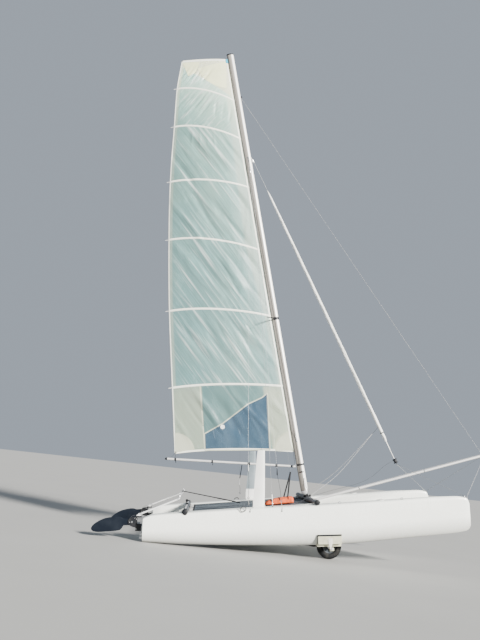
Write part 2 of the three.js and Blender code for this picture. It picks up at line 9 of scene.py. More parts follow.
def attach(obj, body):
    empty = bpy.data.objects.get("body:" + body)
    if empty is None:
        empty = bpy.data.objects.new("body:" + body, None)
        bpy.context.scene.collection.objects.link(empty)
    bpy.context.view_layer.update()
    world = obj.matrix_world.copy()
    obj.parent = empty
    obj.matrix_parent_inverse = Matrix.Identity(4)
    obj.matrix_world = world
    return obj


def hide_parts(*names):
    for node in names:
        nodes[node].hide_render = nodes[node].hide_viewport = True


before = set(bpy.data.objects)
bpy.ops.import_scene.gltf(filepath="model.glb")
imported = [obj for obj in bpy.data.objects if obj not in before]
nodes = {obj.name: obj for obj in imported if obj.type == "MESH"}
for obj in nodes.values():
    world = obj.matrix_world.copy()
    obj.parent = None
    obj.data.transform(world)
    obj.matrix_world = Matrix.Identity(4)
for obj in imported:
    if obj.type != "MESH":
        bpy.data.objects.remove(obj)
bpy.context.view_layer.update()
sides = {"starboard": -1.0, "port": 1.0}

# where the boat, the mast, a rudder and a board stand: tilt in degrees, then x and z of the turning point
boatPlace = (7.0, -2.66463, 0.0)
mastPlace = (8.1, 2.9, 0.648)
rudderPlace = (-3.0527, -0.042, 0.0)
boardPlace = (-1.4, 2.0437, 0.521)
hullY = 1.1175
smoothTo = 35.0  # edges sharper than this many degrees stay sharp
weldAt = 1e-6
# how the finishes lean, in degrees about x, y and z
noLean, boatLean, mastLean, boardLean = (0, 0, 0), (0, 7, 0), (0, 15.1, 0), (0, 5.6, 0)


def tilted(points, place):
    # x' = x0 + x cos a - z sin a and z' = z0 + x sin a + z cos a
    angle = math.radians(place[0])
    p = np.asarray(points, float)
    x = place[1] + p[..., 0] * math.cos(angle) - p[..., 2] * math.sin(angle)
    z = place[2] + p[..., 0] * math.sin(angle) + p[..., 2] * math.cos(angle)
    return np.stack([x, p[..., 1], z], -1)


def onBoat(points):
    return tilted(points, boatPlace)


def onMast(points):
    return onBoat(tilted(points, mastPlace))


def onRudder(points):
    return onBoat(tilted(points, rudderPlace))


def onBoard(points):
    return onBoat(tilted(points, boardPlace))


def onTrolley(points):
    return np.asarray(points, float) + [boatPlace[1], 0.0, 0.0]


def fromMast(points):
    return tilted(points, mastPlace)


def toHull(sign):
    # from the middle of the boat to a hull's middle
    return np.array([0.0, sign * hullY, 0.0])


def toward(a, b):
    # the direction from a to b
    return (b - a) / np.linalg.norm(b - a)


def through(knots, values, at, limit=True):
    # cubic between knots; the slope at a knot is the mean of its neighbours' slopes, or 0 at a peak when limited
    knots = np.asarray(knots, float)
    values = np.asarray(values, float).reshape(len(knots), -1)
    at = np.asarray(at, float)
    step = np.diff(knots)[:, None]
    secant = np.diff(values, axis=0) / step
    a, b = secant[:-1], secant[1:]
    if limit:
        total = np.where(np.abs(a + b) < 1e-12, 1.0, a + b)
        inner = np.where(a * b > 0, 2 * a * b / total, 0.0)
    else:
        inner = (a * step[1:] + b * step[:-1]) / (step[1:] + step[:-1])
    slope = np.concatenate([secant[:1], inner, secant[-1:]])
    i = np.clip(np.searchsorted(knots, at) - 1, 0, len(knots) - 2)
    h = step[i]
    t = ((at - knots[i]) / h[:, 0])[:, None]
    low = (2 * t**3 - 3 * t**2 + 1) * values[i] + (t**3 - 2 * t**2 + t) * h * slope[i]
    high = (3 * t**2 - 2 * t**3) * values[i + 1] + (t**3 - t**2) * h * slope[i + 1]
    return low + high


def rounded(points, count):
    # a smooth line through points, its knots spaced by the distance between them
    points = np.asarray(points, float)
    knots = np.concatenate([[0.0], np.cumsum(np.linalg.norm(np.diff(points, axis=0), axis=1))])
    return through(knots, points, np.linspace(0, knots[-1], count), limit=False)


def gridFaces(rows, columns, around=False):
    # four corners of each cell of the grid; the last column meets the first when it goes around
    r, c = np.meshgrid(np.arange(rows - 1), np.arange(columns if around else columns - 1), indexing="ij")
    n = (c + 1) % columns
    return np.stack([r * columns + c, r * columns + n, (r + 1) * columns + n, (r + 1) * columns + c],
        -1).reshape(-1, 4)


def skin(rings, capped=True):
    # a closed skin over rows of rings, with a flat face over each end
    rows, columns = rings.shape[:2]
    faces = gridFaces(rows, columns, True).tolist()
    if capped:
        faces += [list(range(columns)), list(range((rows - 1) * columns, rows * columns))]
    return rings.reshape(-1, 3), faces


def joined(*shapes):
    # one shape from many: each one's corner numbers are raised by the corners before it
    points, faces, start = [], [], 0
    for p, f in shapes:
        points.append(p)
        faces += [[i + start for i in face] for face in f]
        start += len(p)
    return np.concatenate(points), faces


def tube(path, radius, around=16, squash=1.0):
    # centre(s) + r(s) (cos t across + squash sin t over): a ring carried square to the path
    path = np.asarray(path, float)
    along = np.gradient(path, axis=0)
    along /= np.linalg.norm(along, axis=1)[:, None]
    up = np.array([0.0, 0.0, 1.0]) if np.abs(along[:, 2]).max() < 0.96 else np.array([0.0, 1.0, 0.0])
    across = np.cross(along, up)
    across /= np.linalg.norm(across, axis=1)[:, None]
    over = np.cross(across, along)
    t = np.linspace(0, 2 * np.pi, around, endpoint=False)[None, :, None]
    r = np.broadcast_to(np.asarray(radius, float), (len(path),))[:, None, None]
    rings = path[:, None] + r * (np.cos(t) * across[:, None] + squash * np.sin(t) * over[:, None])
    return skin(rings)


def cord(points, count, radius, around=8):
    return tube(rounded(points, count), radius, around)


def both(rows):
    # a profile from its first half: the rows come again in reverse, turned to the other side
    return rows + [[r, -along] for r, along in reversed(rows) if along]


def turnedProfile(profile, centre, axis, steps=40, loop=False):
    # centre + along axis + r (cos t side + sin t over) for each (r, along) of the profile
    profile = np.asarray(profile + profile[:1] if loop else profile, float)
    axis = np.asarray(axis, float) / np.linalg.norm(axis)
    guide = np.array([0.0, 1.0, 0.0]) if abs(axis[1]) < 0.9 else np.array([1.0, 0.0, 0.0])
    side = np.cross(axis, guide)
    side /= np.linalg.norm(side)
    over = np.cross(axis, side)
    t = np.linspace(0, 2 * np.pi, steps, endpoint=False)[None, :, None]
    r, s = profile[:, 0][:, None, None], profile[:, 1][:, None, None]
    rings = np.asarray(centre, float) + s * axis + r * (np.cos(t) * side + np.sin(t) * over)
    return skin(rings, capped=False)


def block(x0, x1, y0, y1, z0, z1):
    # the eight corners of a box, counted in bits: x, then y, then z
    bits = np.arange(8)
    pick = np.stack([bits & 1, bits >> 1 & 1, bits >> 2 & 1], -1)
    corners = np.where(pick == 1, [x1, y1, z1], [x0, y0, z0]).astype(float)
    return corners, [[0, 2, 3, 1], [4, 5, 7, 6], [0, 1, 5, 4], [2, 6, 7, 3], [0, 4, 6, 2], [1, 3, 7, 5]]


def slab(x, halfX, y, halfY, z0, z1):
    return block(x - halfX, x + halfX, y - halfY, y + halfY, z0, z1)


def newMesh(name, shape, params=None, merge=False):
    # a mesh from points and faces with its attributes, its closed skins turned outwards
    mesh = bpy.data.meshes.new(name)
    mesh.from_pydata(np.asarray(shape[0]).tolist(), [], shape[1])
    for label, values in (params or {}).items():
        layer = mesh.attributes.new(label, "FLOAT_VECTOR", "POINT")
        layer.data.foreach_set("vector", np.asarray(values, np.float32).ravel())
    work = bmesh.new()
    work.from_mesh(mesh)
    if merge:
        bmesh.ops.remove_doubles(work, verts=work.verts, dist=weldAt)
    bmesh.ops.recalc_face_normals(work, faces=work.faces)
    work.to_mesh(mesh)
    work.free()
    return mesh


def newObject(name, data):
    thing = bpy.data.objects.new(name, data)
    bpy.context.scene.collection.objects.link(thing)
    return thing


def makePiece(name, shape, finish, body="root", place=onBoat, stands=(), edge=0.0, sharp=smoothTo, params=None):
    # one piece from a shape or a list of shapes: put in its place, smoothed up to the sharp angle, its edges eased
    points, faces = joined(*shape) if isinstance(shape, list) else shape
    mesh = newMesh(name, (place(points), faces), params, True)
    mesh.shade_smooth()
    mesh.set_sharp_from_angle(angle=math.radians(sharp))
    mesh.materials.append(finishes[finish])
    piece = newObject(name, mesh)
    if edge:
        bevel = piece.modifiers.new("easedEdge", "BEVEL")
        bevel.width = edge
        bevel.segments = 2
        bevel.limit_method = "ANGLE"
        bevel.angle_limit = math.radians(40)
    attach(piece, body)
    if stands:
        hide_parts(*stands)
    return piece


def cutBy(piece, shape, place=onBoat, how="DIFFERENCE"):
    # the piece less a closed tool, or only what lies inside it, kept as plain mesh
    tool = newObject("tool", newMesh("tool", (place(shape[0]), shape[1])))
    change = piece.modifiers.new("cut", "BOOLEAN")
    change.operation = how
    change.solver = "MANIFOLD"
    change.object = tool
    done = bpy.data.meshes.new_from_object(piece.evaluated_get(bpy.context.evaluated_depsgraph_get()))
    piece.modifiers.remove(change)
    bpy.data.objects.remove(tool)
    old, piece.data = piece.data, done
    bpy.data.meshes.remove(old)


# finishes
def add(tree, kind, settings=None, **inputs):
    # a node with its fixed settings, then each input set to a value or joined to a socket
    node = tree.nodes.new("ShaderNode" + kind)
    for key, value in (settings or {}).items():
        setattr(node, key, value)
    for key, value in inputs.items():
        if key.startswith("in") and key[2:].isdigit():
            socket = node.inputs[int(key[2:])]
        else:
            socket = node.inputs[key.replace("_", " ")]
        if isinstance(value, bpy.types.NodeSocket):
            tree.links.new(value, socket)
        else:
            socket.default_value = value
    return node


def newFinish(name, **fixed):
    # a principled finish with its plain numbers on the shader's own sockets
    finish = bpy.data.materials.new(name)
    finish.use_nodes = True
    tree = finish.node_tree
    shader = tree.nodes["Principled BSDF"]
    for key, value in fixed.items():
        shader.inputs[key.replace("_", " ")].default_value = value
    return finish, tree, shader


def spot(tree, stretch=(1, 1, 1), turn=(0, 0, 0)):
    # object coordinates, turned to lean with the piece and then stretched
    source = add(tree, "TexCoord").outputs["Object"]
    turns = tuple(-math.radians(a) for a in turn)
    scale = tuple(1.0 / k for k in stretch)
    return add(tree, "Mapping", {"vector_type": "TEXTURE"}, Vector=source, Rotation=turns,
        Scale=scale).outputs["Vector"]


def parts(tree, attribute):
    # the three numbers of a piece's own attribute
    source = add(tree, "Attribute", {"attribute_name": attribute}).outputs["Vector"]
    return add(tree, "SeparateXYZ", Vector=source).outputs


def wave(tree, where, direction, scale, **more):
    return add(tree, "TexWave", {"bands_direction": direction}, Vector=where, Scale=scale, **more).outputs["Fac"]


def cloud(tree, where, scale, detail=4.0, rough=0.55):
    return add(tree, "TexNoise", Vector=where, Scale=scale, Detail=detail, Roughness=rough).outputs["Fac"]


def span(tree, value, low, high, toLow=0.0, toHigh=1.0):
    # value's stretch from low to high becomes toLow to toHigh, held at the ends
    return add(tree, "MapRange", in0=value, in1=low, in2=high, in3=toLow, in4=toHigh).outputs[0]


def figure(tree, how, a, b=0.0):
    return add(tree, "Math", {"operation": how}, in0=a, in1=b).outputs[0]


def times(tree, a, b):
    return figure(tree, "MULTIPLY", a, b)


def plus(tree, a, b):
    return figure(tree, "ADD", a, b)


def scaled(colour, k, lift=0.0):
    return tuple(min(1.0, c * k + lift) for c in colour)


def tint(tree, factor, a, b, how="MIX"):
    node = tree.nodes.new("ShaderNodeMix")
    node.data_type = "RGBA"
    node.blend_type = how
    for socket, value in ((node.inputs[0], factor), (node.inputs[6], a), (node.inputs[7], b)):
        if isinstance(value, bpy.types.NodeSocket):
            tree.links.new(value, socket)
        else:
            socket.default_value = value if isinstance(value, float) else (*value[:3], 1.0)
    return node.outputs[2]


def relief(tree, shader, height, distance, strength=1.0, under=None):
    inputs = {"Height": height, "Distance": distance, "Strength": strength}
    if under is not None:
        inputs["Normal"] = under
    node = add(tree, "Bump", **inputs)
    tree.links.new(node.outputs[0], shader.inputs["Normal"])
    return node.outputs[0]


def paint(tree, shader, socket, value):
    tree.links.new(value, shader.inputs[socket])


def plainFinish(name, colour, dirt, rough, metal=0.0, scale=9.0, amount=0.35, stretch=(1, 1, 1), turn=boatLean,
        grain=0.0004, grainScale=160.0, coat=0.0):
    # two clouds of wear: a broad one tints the colour, a fine one breaks the gloss and the surface
    finish, tree, shader = newFinish(name, Metallic=metal, Coat_Weight=coat)
    broad = cloud(tree, spot(tree, (1, 1, 1), turn), scale, 5.0)
    fine = cloud(tree, spot(tree, stretch, turn), grainScale, 3.0, 0.6)
    worn = span(tree, broad, 0.45, 0.75, 0.0, amount)
    paint(tree, shader, "Base Color", tint(tree, worn, colour, dirt))
    mixed = plus(tree, times(tree, broad, 0.5), times(tree, fine, 0.5))
    paint(tree, shader, "Roughness", span(tree, mixed, 0.3, 0.7, rough * 0.75, min(1.0, rough * 1.3)))
    relief(tree, shader, fine, grain)
    return finish


def mastFinish():
    # silver-white nose and a grey-brown after part in painted shade, by the chord attribute, the shade deeper near
    # the foot; long streaks down the length
    finish, tree, shader = newFinish("mastSkin", Metallic=0.15)
    chord = parts(tree, "chord")[0]
    streaks = cloud(tree, spot(tree, (40, 40, 0.7), mastLean), 1.0, 6.0, 0.6)
    broad = cloud(tree, spot(tree, (3, 3, 0.8), mastLean), 2.0, 5.0)
    # the after part, behind a line on the chord, gets the painted shade
    aft = span(tree, plus(tree, chord, times(tree, streaks, 0.008)), 0.004, 0.016, 1.0, 0.0)
    front = tint(tree, span(tree, broad, 0.4, 0.7, 0.0, 0.5), (0.93, 0.925, 0.905), (0.80, 0.78, 0.74))
    shadedBack = tint(tree, span(tree, streaks, 0.35, 0.7), (0.30, 0.275, 0.24), (0.42, 0.395, 0.355))
    # painted shade deepening towards the mast's foot
    height = add(tree, "SeparateXYZ", Vector=spot(tree)).outputs[2]
    shadedBack = tint(tree, span(tree, height, 0.95, 2.5, 0.7, 0.0), shadedBack, (0.12, 0.11, 0.10))
    paint(tree, shader, "Base Color", tint(tree, aft, front, shadedBack))
    paint(tree, shader, "Roughness", span(tree, streaks, 0.3, 0.7, 0.28, 0.46))
    relief(tree, shader, streaks, 0.00012)
    return finish


# height above the ground, square to the board's lean, at which the painted shadow on the far board begins
farBoardShadowLine = 1.03


def farBoardFinish():
    # the far board: painted shadow grey-blue on its upper part, white below; a cloud breaks the line between them
    finish, tree, shader = newFinish("farBoardGelcoat", Coat_Weight=0.1)
    where = spot(tree, (1, 1, 1), boardLean)
    height = add(tree, "SeparateXYZ", Vector=where).outputs[2]
    broad = cloud(tree, where, 4.0, 5.0)
    grain = cloud(tree, spot(tree, (40, 6, 1.2), boardLean), 14.0, 3.0, 0.6)
    upper = span(tree, plus(tree, height, times(tree, grain, 0.02)), farBoardShadowLine - 0.01, farBoardShadowLine + 0.01)
    # painted shadow: the upper part's grey-blue stands for shade falling on the board
    paintedShadow = tint(tree, span(tree, broad, 0.35, 0.7), (0.180, 0.225, 0.25), (0.26, 0.305, 0.335))
    paint(tree, shader, "Base Color", tint(tree, upper, (0.90, 0.90, 0.885), paintedShadow))
    paint(tree, shader, "Roughness", span(tree, grain, 0.3, 0.7, 0.3, 0.5))
    relief(tree, shader, grain, 0.0003)
    return finish


def hullFinish():
    # white gelcoat: broad yellowing, painted shade darkening it towards the keel, thin scuffs along the hull, faint
    # runs below the deck edge
    finish, tree, shader = newFinish("hullGelcoat", Coat_Weight=0.25, Coat_Roughness=0.12)
    girth = parts(tree, "girth")[1]
    broad = cloud(tree, spot(tree, (0.6, 1, 1.5), boatLean), 2.2, 6.0)
    fine = cloud(tree, spot(tree, (1, 1, 1), boatLean), 46.0, 6.0, 0.65)
    scuffs = cloud(tree, spot(tree, (0.5, 30, 60), boatLean), 3.0, 8.0, 0.7)
    runs = cloud(tree, spot(tree, (22, 22, 0.9), boatLean), 1.5, 5.0, 0.6)
    colour = tint(tree, span(tree, broad, 0.4, 0.7, 0.0, 0.6), (0.955, 0.98, 0.925), (0.90, 0.915, 0.855))
    # painted shade: the hull darkens towards the keel, where the bilge turns under
    low = span(tree, plus(tree, girth, times(tree, fine, 0.22)), 0.05, 0.58, 1.0, 0.0)
    colour = tint(tree, low, colour, (0.39, 0.39, 0.36))
    edgeRuns = times(tree, span(tree, girth, 0.55, 1.0, 0.0, 0.30), span(tree, runs, 0.56, 0.72))
    colour = tint(tree, edgeRuns, colour, (0.55, 0.53, 0.47))
    colour = tint(tree, span(tree, scuffs, 0.66, 0.74, 0.0, 0.45), colour, (0.60, 0.60, 0.59))
    paint(tree, shader, "Base Color", colour)
    paint(tree, shader, "Roughness", span(tree, plus(tree, low, times(tree, fine, 0.4)), 0.1, 0.9, 0.22, 0.62))
    relief(tree, shader, figure(tree, "SUBTRACT", times(tree, fine, 0.5), span(tree, scuffs, 0.66, 0.74)), 0.0002)
    return finish


# the clear cloth's depth of colour, panel by panel, and the cream's
clothDepth = {"foot": (0.265, 0.33, 0.385), "low": (0.405, 0.475, 0.545), "middle": (0.505, 0.56, 0.60),
    "high": (1.0, 1.0, 1.0), "creamFoot": (0.52, 0.54, 0.40), "creamMiddle": (0.42, 0.46, 0.38)}


def clothFinish(name, cream, clear, seeThrough):
    # laminate cloth: a net of yarns in the film, cream edges, clouded folds, thinner between the yarns, painted
    # highlights and shade down the streaks
    finish, tree, shader = newFinish(name, Specular_IOR_Level=0.38, Subsurface_Weight=0.7,
        Subsurface_Radius=(1.0, 1.0, 1.0), Subsurface_Scale=0.006)
    u, v, solid = parts(tree, "cloth")
    where = spot(tree)
    folds = cloud(tree, spot(tree, (1.4, 1, 0.55), (0, 28, 0)), 2.6, 6.0, 0.6)
    haze = cloud(tree, where, 1.1, 5.0)
    net = span(tree, wave(tree, where, "Z", 24.0, Distortion=0.1), 0.93, 1.0, 0.0, 0.7)
    for slant in (33, -33):
        yarn = wave(tree, spot(tree, (1, 1, 1), (0, slant, 0)), "X", 16.0, Distortion=0.25, Detail=1.0)
        net = figure(tree, "MAXIMUM", net, span(tree, yarn, 0.9, 1.0))
    body = tint(tree, span(tree, folds, 0.35, 0.68), clear, scaled(clear, 1.14))
    body = tint(tree, span(tree, haze, 0.4, 0.7, 0.0, 0.45), body,
        tuple(0.4 * a + 0.6 * b for a, b in zip(cream, clear)))
    body = tint(tree, times(tree, net, 0.16), body, scaled(clear, 1.22))
    # the clear cloth deepens towards the foot, a step at each batten, and towards the leech
    depth = clothDepth["foot"]
    for low, high, panel in ((0.96, 1.03, "low"), (2.0, 5.0, "middle"), (4.9, 6.3, "high")):
        depth = tint(tree, span(tree, v, low, high), depth, clothDepth[panel])
    body = tint(tree, 1.0, body, depth, "MULTIPLY")
    body = tint(tree, span(tree, u, 0.45, 0.92), body, tint(tree, 1.0, body, (0.82, 0.87, 0.89), "MULTIPLY"))
    # sharp streaks down the folds, painted in as highlights with painted shade beside them: they lean aft below the
    # fifth batten and forward above it
    turned = span(tree, v, 4.95, 5.10)
    lowStreaks = cloud(tree, spot(tree, (8.5, 1, 0.34), (0, 42, 0)), 2.4, 2.5, 0.5)
    highStreaks = cloud(tree, spot(tree, (9, 1, 0.9), (0, -32, 0)), 2.8, 2.5, 0.5)
    streaks = plus(tree, times(tree, lowStreaks, figure(tree, "SUBTRACT", 1.0, turned)),
        times(tree, highStreaks, turned))
    inner = times(tree, span(tree, u, 0.06, 0.34), span(tree, u, 0.80, 0.97, 1.0, 0.3))
    inner = times(tree, inner, span(tree, v, 0.94, 1.02, 0.18, 1.0))
    paintedHighlight = times(tree, span(tree, streaks, 0.55, 0.70, 0.0, 0.52), inner)
    body = tint(tree, paintedHighlight, body, (0.80, 0.84, 0.81))
    # painted shade beside the painted highlights
    body = tint(tree, times(tree, span(tree, streaks, 0.30, 0.45, 0.5, 0.0), inner), body,
        tint(tree, 1.0, body, (0.70, 0.76, 0.80), "MULTIPLY"))
    creamHere = tint(tree, span(tree, v, 0.9, 1.1), clothDepth["creamFoot"], clothDepth["creamMiddle"])
    creamHere = tint(tree, span(tree, v, 5.0, 6.8), creamHere, cream)
    stained = tint(tree, span(tree, cloud(tree, where, 5.0, 6.0), 0.5, 0.8, 0.0, 0.5), creamHere,
        tint(tree, 1.0, creamHere, (0.86, 0.86, 0.84), "MULTIPLY"))
    colour = tint(tree, solid, body, stained)
    paint(tree, shader, "Base Color", colour)
    thin = plus(tree, seeThrough, times(tree, plus(tree, net, span(tree, folds, 0.4, 0.7, 0.0, 0.7)), 0.1))
    paint(tree, shader, "Alpha", figure(tree, "MAXIMUM", span(tree, solid, 0.0, 1.0, 0.0, 0.97), thin))
    # duller near the luff and the foot, where the cloth lies flat
    gloss = plus(tree, span(tree, folds, 0.3, 0.7, 0.16, 0.32), span(tree, u, 0.05, 0.30, 0.30, 0.0))
    paint(tree, shader, "Roughness", gloss)
    under = relief(tree, shader, times(tree, times(tree, streaks, inner), span(tree, solid, 0.0, 1.0, 1.0, 0.15)),
        0.010)
    relief(tree, shader, net, 0.00012, 1.0, under)
    finish.surface_render_method = "DITHERED"
    return finish


def filmFinish():
    # clear window film: blue-grey, hazed in folds, with fine creases and scratches
    finish, tree, shader = newFinish("windowFilm", Specular_IOR_Level=0.35)
    haze = cloud(tree, spot(tree, (1.5, 1, 0.6), (0, 30, 0)), 3.0, 6.0)
    lines = cloud(tree, spot(tree, (9, 1, 0.8), (0, 24, 0)), 4.0, 8.0, 0.7)
    colour = tint(tree, span(tree, haze, 0.4, 0.7), (0.042, 0.086, 0.132), (0.078, 0.135, 0.190))
    colour = tint(tree, span(tree, lines, 0.62, 0.74, 0.0, 0.35), colour, (0.62, 0.68, 0.72))
    paint(tree, shader, "Base Color", colour)
    paint(tree, shader, "Alpha", span(tree, plus(tree, haze, span(tree, lines, 0.6, 0.75, 0.0, 0.4)), 0.35, 1.0,
        0.72, 0.86))
    paint(tree, shader, "Roughness", span(tree, haze, 0.3, 0.7, 0.06, 0.22))
    relief(tree, shader, lines, 0.0015)
    return finish


def wovenFinish(name, colour, dark, pitch, depth, rough=0.8, sheen=0.3, turn=boatLean, plane="XY"):
    # two crossed waves stand for the warp and weft; their crossings are dark, and a cloud fades the dye
    finish, tree, shader = newFinish(name, Sheen_Weight=sheen, Sheen_Roughness=0.5, Specular_IOR_Level=0.3)
    where = spot(tree, (1, 1, 1), turn)
    weave = times(tree, *(wave(tree, where, a, 0.05 / pitch * 6.283, Distortion=0.6, Detail=2.0) for a in plane))
    broad = cloud(tree, where, 3.0, 6.0)
    colourA = tint(tree, span(tree, broad, 0.4, 0.72, 0.0, 0.7), colour, scaled(colour, 1.35, 0.02))
    colourB = tint(tree, span(tree, weave, 0.05, 0.5, 0.75, 0.0), colourA, dark)
    paint(tree, shader, "Base Color", colourB)
    paint(tree, shader, "Roughness", span(tree, broad, 0.3, 0.7, rough * 0.9, min(1.0, rough * 1.15)))
    relief(tree, shader, weave, depth)
    return finish


def ropeFinish(name, colour, fleck, twist=260.0):
    # a braid: diagonal bands both ways around the line, with a coloured fleck
    finish, tree, shader = newFinish(name, Sheen_Weight=0.2, Roughness=0.75)
    braid = times(tree, *(wave(tree, spot(tree, (1, 1, way)), "DIAGONAL", twist) for way in (1, -1)))
    flecks = span(tree, cloud(tree, spot(tree), 90.0, 2.0), 0.6, 0.64)
    paint(tree, shader, "Base Color", tint(tree, times(tree, flecks, 0.8),
        tint(tree, braid, scaled(colour, 0.55), colour), fleck))
    relief(tree, shader, braid, 0.0012)
    return finish


# name, colour, dirt, roughness, metal; scale and amount of wear; stretch, lean, depth and scale of grain; coat
plainTable = {
    "alloy": ("anodisedAlloy", (0.78, 0.785, 0.79), (0.52, 0.50, 0.47), 0.38, 0.55, 6.0, 0.4, (1, 30, 30), boatLean,
        0.00012, 60.0),
    "mastAlloy": ("mastAlloy", (0.86, 0.855, 0.84), (0.62, 0.59, 0.55), 0.36, 0.45, 5.0, 0.45, (40, 40, 0.8),
        mastLean, 0.00012, 30.0),
    # beams: dark anodised grey, partly painted shade under the deck and trampoline
    "beamAlloy": ("beamAlloy", (0.085, 0.095, 0.105), (0.17, 0.175, 0.175), 0.45, 0.3, 6.0, 0.45, (30, 1, 30),
        boatLean, 0.00015, 60.0),
    "brightAlloy": ("brightAlloy", (0.92, 0.92, 0.91), (0.74, 0.73, 0.70), 0.34, 0.2, 6.0, 0.35, (1, 30, 30),
        boatLean, 0.00012, 60.0),
    # wheel rim: grey plastic darkened further as painted shade for its place under the hull
    "rim": ("shadedRimPlastic", (0.075, 0.085, 0.095), (0.055, 0.053, 0.048), 0.5, 0.0, 18.0, 0.7, (1, 1, 1), noLean,
        0.0004, 160.0),
    # luff track: dark grey-brown, painted shade matching the mast's after part
    "mastTrack": ("mastTrack", (0.20, 0.19, 0.175), (0.33, 0.31, 0.28), 0.55, 0.5, 9.0, 0.5, (40, 40, 0.8),
        mastLean, 0.0002, 30.0),
    "steel": ("stainless", (0.62, 0.63, 0.64), (0.30, 0.27, 0.24), 0.25, 1.0, 60.0, 0.3, (1, 1, 1), boatLean,
        0.0001, 400.0),
    "paleWire": ("paleWire", (0.40, 0.41, 0.41), (0.26, 0.26, 0.25), 0.5, 0.3, 70.0, 0.4, (1, 1, 4), boatLean,
        0.0004, 600.0),
    "wire": ("strandWire", (0.34, 0.35, 0.36), (0.18, 0.175, 0.17), 0.5, 0.9, 70.0, 0.4, (1, 1, 4), boatLean,
        0.0004, 600.0),
    "black": ("blackMoulding", (0.010, 0.011, 0.014), (0.06, 0.058, 0.054), 0.45, 0.0, 14.0, 0.4, (1, 1, 1),
        boatLean, 0.0004, 220.0),
    "blade": ("rudderBlade", (0.004, 0.007, 0.013), (0.014, 0.019, 0.027), 0.45, 0.0, 5.0, 0.5, (1, 8, 14),
        boatLean, 0.0003, 40.0),
    "dark": ("darkFitting", (0.020, 0.021, 0.024), (0.08, 0.076, 0.07), 0.5, 0.2, 40.0, 0.4, (1, 1, 1), boatLean,
        0.0003, 300.0),
    "cream": ("agedPlastic", (0.53, 0.52, 0.385), (0.36, 0.34, 0.26), 0.5, 0.0, 12.0, 0.7, (1, 1, 1), noLean,
        0.0006, 120.0),
    "white": ("whitePlastic", (0.80, 0.80, 0.78), (0.55, 0.53, 0.48), 0.4, 0.0, 20.0, 0.5, (1, 1, 1), boatLean,
        0.0003, 200.0),
    "board": ("boardGelcoat", (0.90, 0.90, 0.885), (0.74, 0.73, 0.69), 0.32, 0.0, 3.0, 0.55, (40, 6, 1.2),
        boardLean, 0.0003, 14.0, 0.2),
    "tyre": ("tyreRubber", (0.010, 0.011, 0.012), (0.055, 0.052, 0.046), 0.85, 0.0, 16.0, 0.8, (1, 1, 1), noLean,
        0.0012, 90.0),
    "pocket": ("battenPocket", (0.86, 0.875, 0.78), (0.72, 0.735, 0.63), 0.6, 0.0, 6.0, 0.6, (30, 1, 30), mastLean,
        0.0005, 20.0),
    "headPatch": ("headPatch", (0.76, 0.79, 0.50), (0.64, 0.66, 0.40), 0.6, 0.0, 6.0, 0.6, (30, 1, 30), mastLean,
        0.0005, 20.0),
    "patch": ("cornerPatch", (0.47, 0.495, 0.385), (0.40, 0.41, 0.31), 0.6, 0.0, 6.0, 0.6, (30, 1, 30), mastLean,
        0.0005, 20.0),
    "rolled": ("rolledJib", (0.87, 0.875, 0.85), (0.66, 0.67, 0.63), 0.5, 0.0, 3.0, 0.7, (14, 14, 1.5), (0, 31, 0),
        0.004, 9.0),
    "blueTag": ("blueTag", (0.02, 0.42, 0.62), (0.05, 0.3, 0.4), 0.6, 0.0, 30.0, 0.5),
}
finishes = {key: plainFinish(*row) for key, row in plainTable.items()}
finishes.update({
    "hull": hullFinish(),
    "mastSkin": mastFinish(),
    "farBoard": farBoardFinish(),
    "cloth": clothFinish("sailLaminate", (0.79, 0.81, 0.56), (0.46, 0.67, 0.57), 0.83),
    "film": filmFinish(),
    "mesh": wovenFinish("trampolineMesh", (0.135, 0.165, 0.190), (0.032, 0.040, 0.050), 0.006, 0.0012, 0.8, 0.0),
    "webbing": wovenFinish("webbing", (0.016, 0.017, 0.020), (0.006, 0.006, 0.007), 0.004, 0.0008, 0.8, 0.0),
    "bag": wovenFinish("bagCloth", (0.80, 0.13, 0.030), (0.52, 0.07, 0.015), 0.003, 0.0005, 0.7, 0.05),
    "strap": wovenFinish("whiteStrap", (0.74, 0.72, 0.66), (0.4, 0.38, 0.33), 0.004, 0.0007, 0.8, 0.2, noLean,
        "XZ"),
    "darkRope": ropeFinish("darkRope", (0.022, 0.024, 0.032), (0.16, 0.16, 0.18)),
    "lightRope": ropeFinish("lightRope", (0.62, 0.61, 0.57), (0.08, 0.16, 0.42)),
})
for name, shine in (("blade", 0.2), ("black", 0.25), ("dark", 0.3), ("tyre", 0.12), ("rim", 0.15)):
    finishes[name].node_tree.nodes["Principled BSDF"].inputs["Specular IOR Level"].default_value = shine
print("finishes made:", len(finishes))

# hulls
hull = {"rows": 150, "deckPoints": 9, "sidePoints": 8, "bilgePoints": 15, "deckEdge": 0.94, "widest": 0.72}
# x, half beam, keel, deck edge, deck centre, fullness of the bilge
hullStations = np.array([
    [0.0, 0.150, 0.0, 0.372, 0.385, 2.8], [0.18, 0.160, -0.016, 0.420, 0.437, 2.8],
    [0.7, 0.174, -0.052, 0.442, 0.464, 2.7], [1.4, 0.181, -0.082, 0.471, 0.498, 2.6],
    [2.1, 0.182, -0.102, 0.494, 0.525, 2.5], [2.8, 0.178, -0.112, 0.513, 0.545, 2.3],
    [3.4, 0.166, -0.104, 0.532, 0.568, 2.1], [4.0, 0.140, -0.066, 0.552, 0.594, 1.9],
    [4.5, 0.109, -0.028, 0.569, 0.617, 1.8], [5.0, 0.072, 0.008, 0.579, 0.633, 1.7],
    [5.3, 0.046, 0.034, 0.578, 0.634, 1.7], [5.46, 0.028, 0.062, 0.564, 0.614, 1.7],
    [5.52, 0.017, 0.098, 0.538, 0.585, 1.7], [5.548, 0.008, 0.150, 0.470, 0.515, 1.8],
])
board = {"front": (2.0437, 0.521), "chord": 0.197, "thickness": 0.034, "lip": 0.0022}
